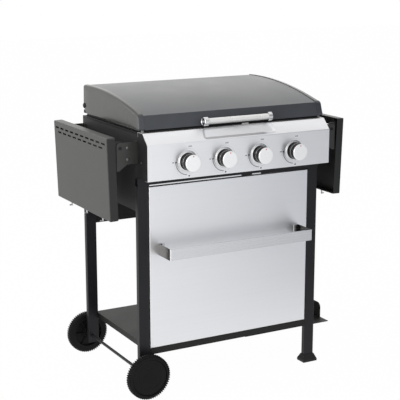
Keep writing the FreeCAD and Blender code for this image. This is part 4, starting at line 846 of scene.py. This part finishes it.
HINGE_STEPS = 40
hinge_low, hinge_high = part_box("lid_hinge_bolts")
hinge_place = ((hinge_low.y + hinge_high.y) / 2, (hinge_low.z + hinge_high.z) / 2)
hinge_face = float(end_face(np.array(hinge_place)))
hinge_outline = soften([
    (0.0, -0.003), (0.0092, -0.003), (0.0092, 0.0012), (0.0072, 0.003), (0.0, 0.0036),
], radius=0.001, steps=4)
hinge_heads = []
for side_name, side in SIDES:
    lid_end = skin(f"pressed_lid_end_{side_name}", [pressed_end(end_outline, side)], warm_lit_end_coat, "lid")
    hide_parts(f"lid_end_{side_name}")
    hinge_heads.append(turn_across(hinge_outline, HINGE_STEPS, (side * hinge_face, *hinge_place), side))
hinge_caps = skin("hinge_bolt_heads", hinge_heads, black_rubber_and_shade, "lid")

TAB_HALF_GAUGE = 0.0015
TAB_HALF_HEIGHT = 0.0055
TAB_RUN = 0.03
TAB_OVERHANG = 0.003
TAB_DROP = 0.001
tab_x = end_high.x - 2 * TAB_HALF_GAUGE
tab_z = end_low.z + TAB_HALF_HEIGHT - TAB_DROP
tabs = skin("hinge_tabs", [
    bar((x, end_high.y - TAB_RUN, tab_z), (x, end_high.y + TAB_OVERHANG, tab_z), *ALONG_Y, TAB_HALF_GAUGE,
        TAB_HALF_HEIGHT, rounding=0.4)
    for x in (-tab_x, tab_x)
], black_rubber_and_shade, "lid")

# Painted shade: a black strip inside the foot of each end, where the gap under the lid's sides lies in shade.
SIDE_SHADE_BAND_HALF_WIDTH = 0.002
SIDE_SHADE_BAND_HALF_HEIGHT = 0.00425
SIDE_SHADE_BAND_OUT = 0.0072
SIDE_SHADE_BAND_BITE = 0.001
SIDE_SHADE_BAND_FRONT_GAP = 0.022
SIDE_SHADE_BAND_BACK_GAP = 0.05
side_shade_band_x = end_low.x + SIDE_SHADE_BAND_OUT
side_shade_band_z = end_low.z + SIDE_SHADE_BAND_BITE - SIDE_SHADE_BAND_HALF_HEIGHT
side_shade_bands = skin("lid_side_shade_bands", [
    bar((x, end_low.y + SIDE_SHADE_BAND_FRONT_GAP, side_shade_band_z), (x, end_high.y - SIDE_SHADE_BAND_BACK_GAP, side_shade_band_z),
        *ALONG_Y, SIDE_SHADE_BAND_HALF_WIDTH, SIDE_SHADE_BAND_HALF_HEIGHT, rounding=0.3)
    for x in (-side_shade_band_x, side_shade_band_x)
], black_rubber_and_shade, "lid")


# Lid handle: a satin chromed steel tube, with painted shade darkening its underside, between two turned
# collars on posts. Each collar is hollow at its outer end, with the head of its screw inside, and the
# hollow's dark floor is painted shade.

HANDLE_RADIUS = 0.0115
HANDLE_PAINTED_SHADE = (0.38, 0.38, 0.38)
satin_chrome, satin_flow = new_finish("satin_chrome", (0.93, 0.925, 0.915), 0.26, metallic=0.3)
satin_wear = grain(satin_flow, 30.0, detail=3.0)
feed(satin_chrome, "Base Color", shades(satin_wear, (0.915, 0.91, 0.9), (0.945, 0.94, 0.93)))
handle_low, handle_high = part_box("lid_handle")
satin_z = coordinates(satin_chrome)[2]
# Painted shade: the tube's lower half is blended to a dark grey towards its bottom.
below = ((handle_low.z + HANDLE_RADIUS - satin_z) / HANDLE_RADIUS).clamped()
overlay(satin_chrome, below, HANDLE_PAINTED_SHADE)
feed(satin_chrome, "Roughness", 0.2 + satin_wear * 0.12)
satin_lines = grain(satin_flow, 1.0, stretch=(20.0, 1500.0, 1500.0))
relief(satin_chrome, satin_lines, strength=0.02, depth=0.00005)
dress(satin_chrome, "lid_handle")
dress(chrome, "lid_handle_posts")

COLLAR_RADIUS = 0.0144
WELL_RADIUS = 0.0112
LIP_BORE = WELL_RADIUS - 0.0001
END_SINK = -0.0004
lip_outline = soften([
    (LIP_BORE, END_SINK), (COLLAR_RADIUS, END_SINK), (COLLAR_RADIUS, 0.0004), (COLLAR_RADIUS - 0.0014, 0.002),
    (WELL_RADIUS + 0.001, 0.002), (LIP_BORE, 0.0006),
], radius=0.001, steps=4)
well_outline = soften([
    (0.0, END_SINK), (WELL_RADIUS, END_SINK), (WELL_RADIUS, 0.0002), (0.0, 0.0002),
], radius=0.0001, steps=2)
head_outline = soften([
    (0.0, END_SINK), (0.0048, END_SINK), (0.0045, 0.0009), (0.0026, 0.0013), (0.0022, 0.0004), (0.0, 0.0004),
], radius=0.0004, steps=3)
handle_y = (handle_low.y + handle_high.y) / 2
handle_z = (handle_low.z + handle_high.z) / 2
posts_low, posts_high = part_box("lid_handle_posts")


def at_handle_ends(outline, steps):
    """An outline turned about the handle's axis, at each end of it."""
    ends = ((posts_low.x, -1.0), (posts_high.x, 1.0))
    return [turn_across(outline, steps, (x, handle_y, handle_z), way) for x, way in ends]


lips = skin("handle_end_lips", at_handle_ends(lip_outline, steps=64), chrome, "lid")
# Painted shade: each collar's shallow hollow has a dark floor, for the shade deep in a hollow end.
shaded_wells = skin("handle_end_shaded_wells", at_handle_ends(well_outline, steps=48), dark_zinc, "lid")
heads = skin("handle_end_screws", at_handle_ends(head_outline, steps=32), chrome, "lid")


# Lid rests: two rubber buffers on the panel's top flange, a black strip between them that paints the shade
# under the lid's front edge, and a pale pad in front of it near the middle.

SHADE_BAND_HALF_HEIGHT = 0.0025
SHADE_BAND_FRONT_GAP = 0.0004
SHADE_BAND_BACK_GAP = 0.002
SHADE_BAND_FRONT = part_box("lid_shell")[0].y + SHADE_BAND_FRONT_GAP
SHADE_BAND_BACK = panel_high.y - SHADE_BAND_BACK_GAP
SHADE_BAND_END_GAP = 0.0125
PAD_RUN = (0.026, 0.05)
PAD_HALF_HEIGHT = 0.0022
PAD_HALF_DEPTH = 0.0015
rubber = moulded("buffer_rubber", (0.16, 0.16, 0.16), 0.6, grain_scale=900.0)
pale_pad = moulded("pale_pad", (0.6, 0.6, 0.58), 0.5)
dress(rubber, "lid_buffers")
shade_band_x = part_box("lid_buffers")[1].x - SHADE_BAND_END_GAP
shade_band_y = (SHADE_BAND_FRONT + SHADE_BAND_BACK) / 2
shade_band_z = PANEL_TOP + SHADE_BAND_HALF_HEIGHT
# Painted shade: a black strip along the flange, where the shade under the lid's front edge falls.
shade_band_bar = bar((-shade_band_x, shade_band_y, shade_band_z), (shade_band_x, shade_band_y, shade_band_z), *ALONG_X, (SHADE_BAND_BACK - SHADE_BAND_FRONT) / 2,
               SHADE_BAND_HALF_HEIGHT, rounding=0.4)
seal = skin("lid_shade_band", [shade_band_bar], black_rubber_and_shade, "cart")
pad_y = SHADE_BAND_FRONT - PAD_HALF_DEPTH
pad_z = PANEL_TOP + PAD_HALF_HEIGHT
pad_start, pad_end = [(x, pad_y, pad_z) for x in PAD_RUN]
pad_bar = bar(pad_start, pad_end, *ALONG_X, PAD_HALF_DEPTH, PAD_HALF_HEIGHT, rounding=0.5)
pad = skin("lid_rest_pad", [pad_bar], pale_pad, "cart")


# Side shelves: folded steel pans in a warm dark grey enamel, darkened inside by painted shade, with punched
# slots and zinc wire hooks. They hang on bolts through brackets, and lean out a little at the top. Each pan's
# long upper edge is turned down inside in a narrow lip.

SHELF_TILT = math.radians(1.8)
SHELF_ENAMEL = (0.029, 0.0292, 0.0275)
PAN_SHEET = 0.001
PAN_TOP_BAND = 0.004
PIVOT_X = 0.4
PIVOT_RADIUS = 0.005
FACE_FROM_PIVOT = 0.046
TOP_FROM_PIVOT = 0.036
SHELF_RIM_DEPTH = 0.028
LIP_HALF_DROP = 0.009
LIP_HALF_GAUGE = 0.0007
LIP_END_GAP = 0.016
shelf_coat = coat("shelf_enamel", SHELF_ENAMEL, 0.4, peel_scale=560.0, peel_depth=0.0001, gloss=0.5)
shaded_pan_coat = coat("shelf_pan_enamel_shaded_inside", SHELF_ENAMEL, 0.4, peel_scale=560.0, peel_depth=0.0001, gloss=0.5)
pan_x, _, pan_z = coordinates(shaded_pan_coat)
pan_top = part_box("shelf_right")[1]
# Painted shade: inside the pans, below the top band, the enamel is a fifth as bright.
face_x = pan_top.x - (pan_top.z - pan_z) * math.tan(SHELF_TILT)
painted_shade_inside = (abs(pan_x) < face_x - PAN_SHEET) * (pan_z < pan_top.z - PAN_TOP_BAND)
overlay(shaded_pan_coat, painted_shade_inside, tint(SHELF_ENAMEL, 0.2))
dress(shaded_pan_coat, "shelf_left", "shelf_right")
dress(shelf_coat, "shelf_brackets")
dress(zinc, "shelf_hooks_left", "shelf_hooks_right")
dress(black_coat, "shelf_pivot_bolts")
for side_name, way in SIDES:
    low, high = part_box(f"shelf_{side_name}")
    outward = np.array([way * math.cos(SHELF_TILT), 0.0, -math.sin(SHELF_TILT)])
    upward = np.array([way * math.sin(SHELF_TILT), 0.0, math.cos(SHELF_TILT)])
    pivot = np.array([way * PIVOT_X, 0.0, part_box("shelf_pivot_bolts")[1].z - PIVOT_RADIUS])
    out = FACE_FROM_PIVOT - SHELF_RIM_DEPTH + LIP_HALF_GAUGE
    middle = pivot + outward * out + upward * (TOP_FROM_PIVOT - LIP_HALF_DROP)
    start = middle + np.array([0.0, low.y + LIP_END_GAP, 0.0])
    end = middle + np.array([0.0, high.y - LIP_END_GAP, 0.0])
    lip_bar = bar(start, end, outward, upward, LIP_HALF_GAUGE, LIP_HALF_DROP, rounding=0.05)
    lip = skin(f"shelf_lip_{side_name}", [lip_bar], shelf_coat, f"side_shelf_{side_name}")


# Bracket screws: domed steel heads with a cross recess, zinc plated, through the bracket into the leg.

HEAD_RADIUS = 0.0056
HEAD_HEIGHT = 0.0024
HEAD_FULLNESS = 1.02
HEAD_RINGS = 9
HEAD_STEPS = 48
CROSS_HALF_WIDTH = 0.00065
CROSS_REACH = 0.62
CROSS_DEPTH = 0.0011
SCREW_RADIUS = 0.005
SCREW_PROUD = 0.0025


def screw_head(centre, outward):
    """A domed head: height times the root of the fullness less (r/R)(r/R), which leaves a low edge, with a
    cross recess of two slots."""
    ring = np.linspace(0.0, 1.0, HEAD_RINGS)[:, None]
    angle = np.linspace(0.0, 2 * np.pi, HEAD_STEPS, endpoint=False)[None, :]
    x = HEAD_RADIUS * ring * np.cos(angle)
    z = HEAD_RADIUS * ring * np.sin(angle)
    dome = HEAD_HEIGHT * np.sqrt((HEAD_FULLNESS - ring ** 2).clip(0.0))
    arm = (np.minimum(np.abs(x), np.abs(z)) < CROSS_HALF_WIDTH) & (ring < CROSS_REACH)
    top = np.stack([x, outward * (dome - CROSS_DEPTH * arm), z], axis=-1)
    foot = top[-1:] * np.array([1.0, 0.0, 1.0])
    return np.vstack([top, foot, np.zeros_like(foot)]) + np.asarray(centre, float)


screws_low, screws_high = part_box("fasteners")
screw_x = screws_high.x - SCREW_RADIUS
screw_z = (screws_low.z + SCREW_RADIUS, screws_high.z - SCREW_RADIUS)
screw_faces = ((screws_low.y + SCREW_PROUD, -1.0), (screws_high.y - SCREW_PROUD, 1.0))
screws = [
    screw_head((x, y, z), outward)
    for x in (-screw_x, screw_x) for z in screw_z for y, outward in screw_faces
]
bracket_zinc = plated("bracket_zinc", (0.15, 0.15, 0.15), 0.4)
bracket_screws = skin("bracket_screws", screws, bracket_zinc, "cart", smooth_angle=50.0)
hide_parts("fasteners")


# Studio: a white floor that keeps a very faint shadow, white all round, three soft lamps, and a grey card
# that only reflections show. The camera stands to the left of the grill and a little above it.

WHITE = (1.0, 1.0, 1.0)
FLOOR_HALF = 14.0
FLOOR_GLOW = 0.985
SURROUND_FILL = 0.6


def stage_sheet(name, corners, finish):
    """A flat sheet of the studio, between four corners."""
    mesh = bpy.data.meshes.new(name)
    mesh.from_pydata(corners, [], [(0, 1, 2, 3)])
    mesh.materials.append(finish)
    return add_object(name, mesh)


def seen_by(tree):
    """1 on rays from the camera and on those that metal and glass send on."""
    rays = Flow(tree).node("ShaderNodeLightPath")
    kinds = ("Camera", "Glossy", "Transmission")
    camera_ray, glossy, through = [rays.output(f"Is {kind} Ray") for kind in kinds]
    return rays.maths("MAXIMUM", rays.maths("MAXIMUM", camera_ray, glossy), through)


floor_finish, floor_flow = new_finish("studio_white", (0.9, 0.9, 0.9), 0.9)
floor_tree = floor_finish.node_tree
floor_glow = floor_flow.node("ShaderNodeEmission", None, {"Color": (*WHITE, 1.0), "Strength": 1.0})
floor_paint = Flow(floor_tree, shader_of(floor_finish).outputs[0])
floor_mix = floor_flow.node("ShaderNodeMixShader", None, {
    0: seen_by(floor_tree) * FLOOR_GLOW, 1: floor_paint, 2: floor_glow,
})
floor_tree.links.new(floor_mix.socket, floor_tree.nodes["Material Output"].inputs["Surface"])
floor = stage_sheet("studio_floor", [
    (-FLOOR_HALF, -FLOOR_HALF, 0.0), (FLOOR_HALF, -FLOOR_HALF, 0.0),
    (FLOOR_HALF, FLOOR_HALF, 0.0), (-FLOOR_HALF, FLOOR_HALF, 0.0),
], floor_finish)

world = bpy.data.worlds.new("studio_surround")
world.use_nodes = True
surround = world.node_tree.nodes["Background"]
surround.inputs["Color"].default_value = (*WHITE, 1.0)
surround_light = SURROUND_FILL + seen_by(world.node_tree) * (1 - SURROUND_FILL)
world.node_tree.links.new(surround_light.socket, surround.inputs["Strength"])
bpy.context.scene.world = world


def soft_box(name, place, aim, width, height, glow, colour):
    """A rectangular lamp that faces the aim. glow is the brightness of its face, where 1 is white."""
    lamp = bpy.data.lights.new(name, "AREA")
    lamp.color = colour
    lamp.shape = "RECTANGLE"
    lamp.size = width
    lamp.size_y = height
    lamp.energy = glow * math.pi * width * height
    box = add_object(name, lamp)
    box.location = place
    box.rotation_euler = (Vector(aim) - Vector(place)).to_track_quat("-Z", "Y").to_euler()
    box.visible_camera = False


soft_box("soft_box_left", place=(-2.4, 1.2, 1.6), aim=(0.0, 0.0, 0.6), width=2.4, height=2.0, glow=1.5,
         colour=(1.0, 0.99, 0.9))
soft_box("soft_box_back", place=(1.3, 3.0, 2.5), aim=(0.0, 0.0, 0.9), width=4.0, height=2.0, glow=0.54,
         colour=(1.0, 0.99, 0.93))
soft_box("soft_box_front", place=(-2.0, -1.2, 1.1), aim=(-0.2, -0.1, 0.6), width=1.6, height=1.8, glow=2.4,
         colour=WHITE)

CARD_Y = -0.75
CARD_LEFT = -0.1
CARD_RIGHT = 2.4
CARD_HEIGHT = 1.6
CARD_SHADE_RUN = 1.6
CARD_DARK_FROM = 0.85
CARD_DARK_RUN = 0.2
CARD_DARK_GAIN = 1.2
card_finish, card_flow = new_finish("shaded_card_paper", (0.0, 0.0, 0.0), 1.0, gloss=0.0)
card_x, _, card_z = coordinates(card_finish)
card_share = (card_x - CARD_LEFT) / CARD_SHADE_RUN
feed(card_finish, "Emission Color", card_flow.node("ShaderNodeValToRGB", {"stops": [
    (0.0, (0.97, 0.985, 1.0)), (0.5, (0.62, 0.635, 0.66)), (1.0, (0.36, 0.37, 0.39)),
]}, {"Fac": card_share}))
card_up = ((card_z - CARD_DARK_FROM) / CARD_DARK_RUN).clamped()
overlay(card_finish, (card_up * card_share * CARD_DARK_GAIN).clamped(), (0.0, 0.0, 0.0), "Emission Color")
shader_of(card_finish).inputs["Emission Strength"].default_value = 1.0
card = stage_sheet("shaded_card", [
    (CARD_LEFT, CARD_Y, 0.0), (CARD_RIGHT, CARD_Y, 0.0),
    (CARD_RIGHT, CARD_Y, CARD_HEIGHT), (CARD_LEFT, CARD_Y, CARD_HEIGHT),
], card_finish)
card.visible_camera = False
card.visible_diffuse = False
card.visible_shadow = False

CAMERA_PLACE = (-1.8223, -3.2752, 1.4346)
CAMERA_TURN = -28.9
CAMERA_DIP = 12.771
LENS = 100.05
SENSOR = 36.0
eye = bpy.data.cameras.new("studio_camera")
eye.lens = LENS
eye.sensor_width = SENSOR
camera = add_object("studio_camera", eye)
camera.location = CAMERA_PLACE
camera.rotation_euler = (math.radians(90.0 - CAMERA_DIP), 0.0, math.radians(CAMERA_TURN))
bpy.context.scene.camera = camera
bpy.context.scene.view_settings.view_transform = "Standard"
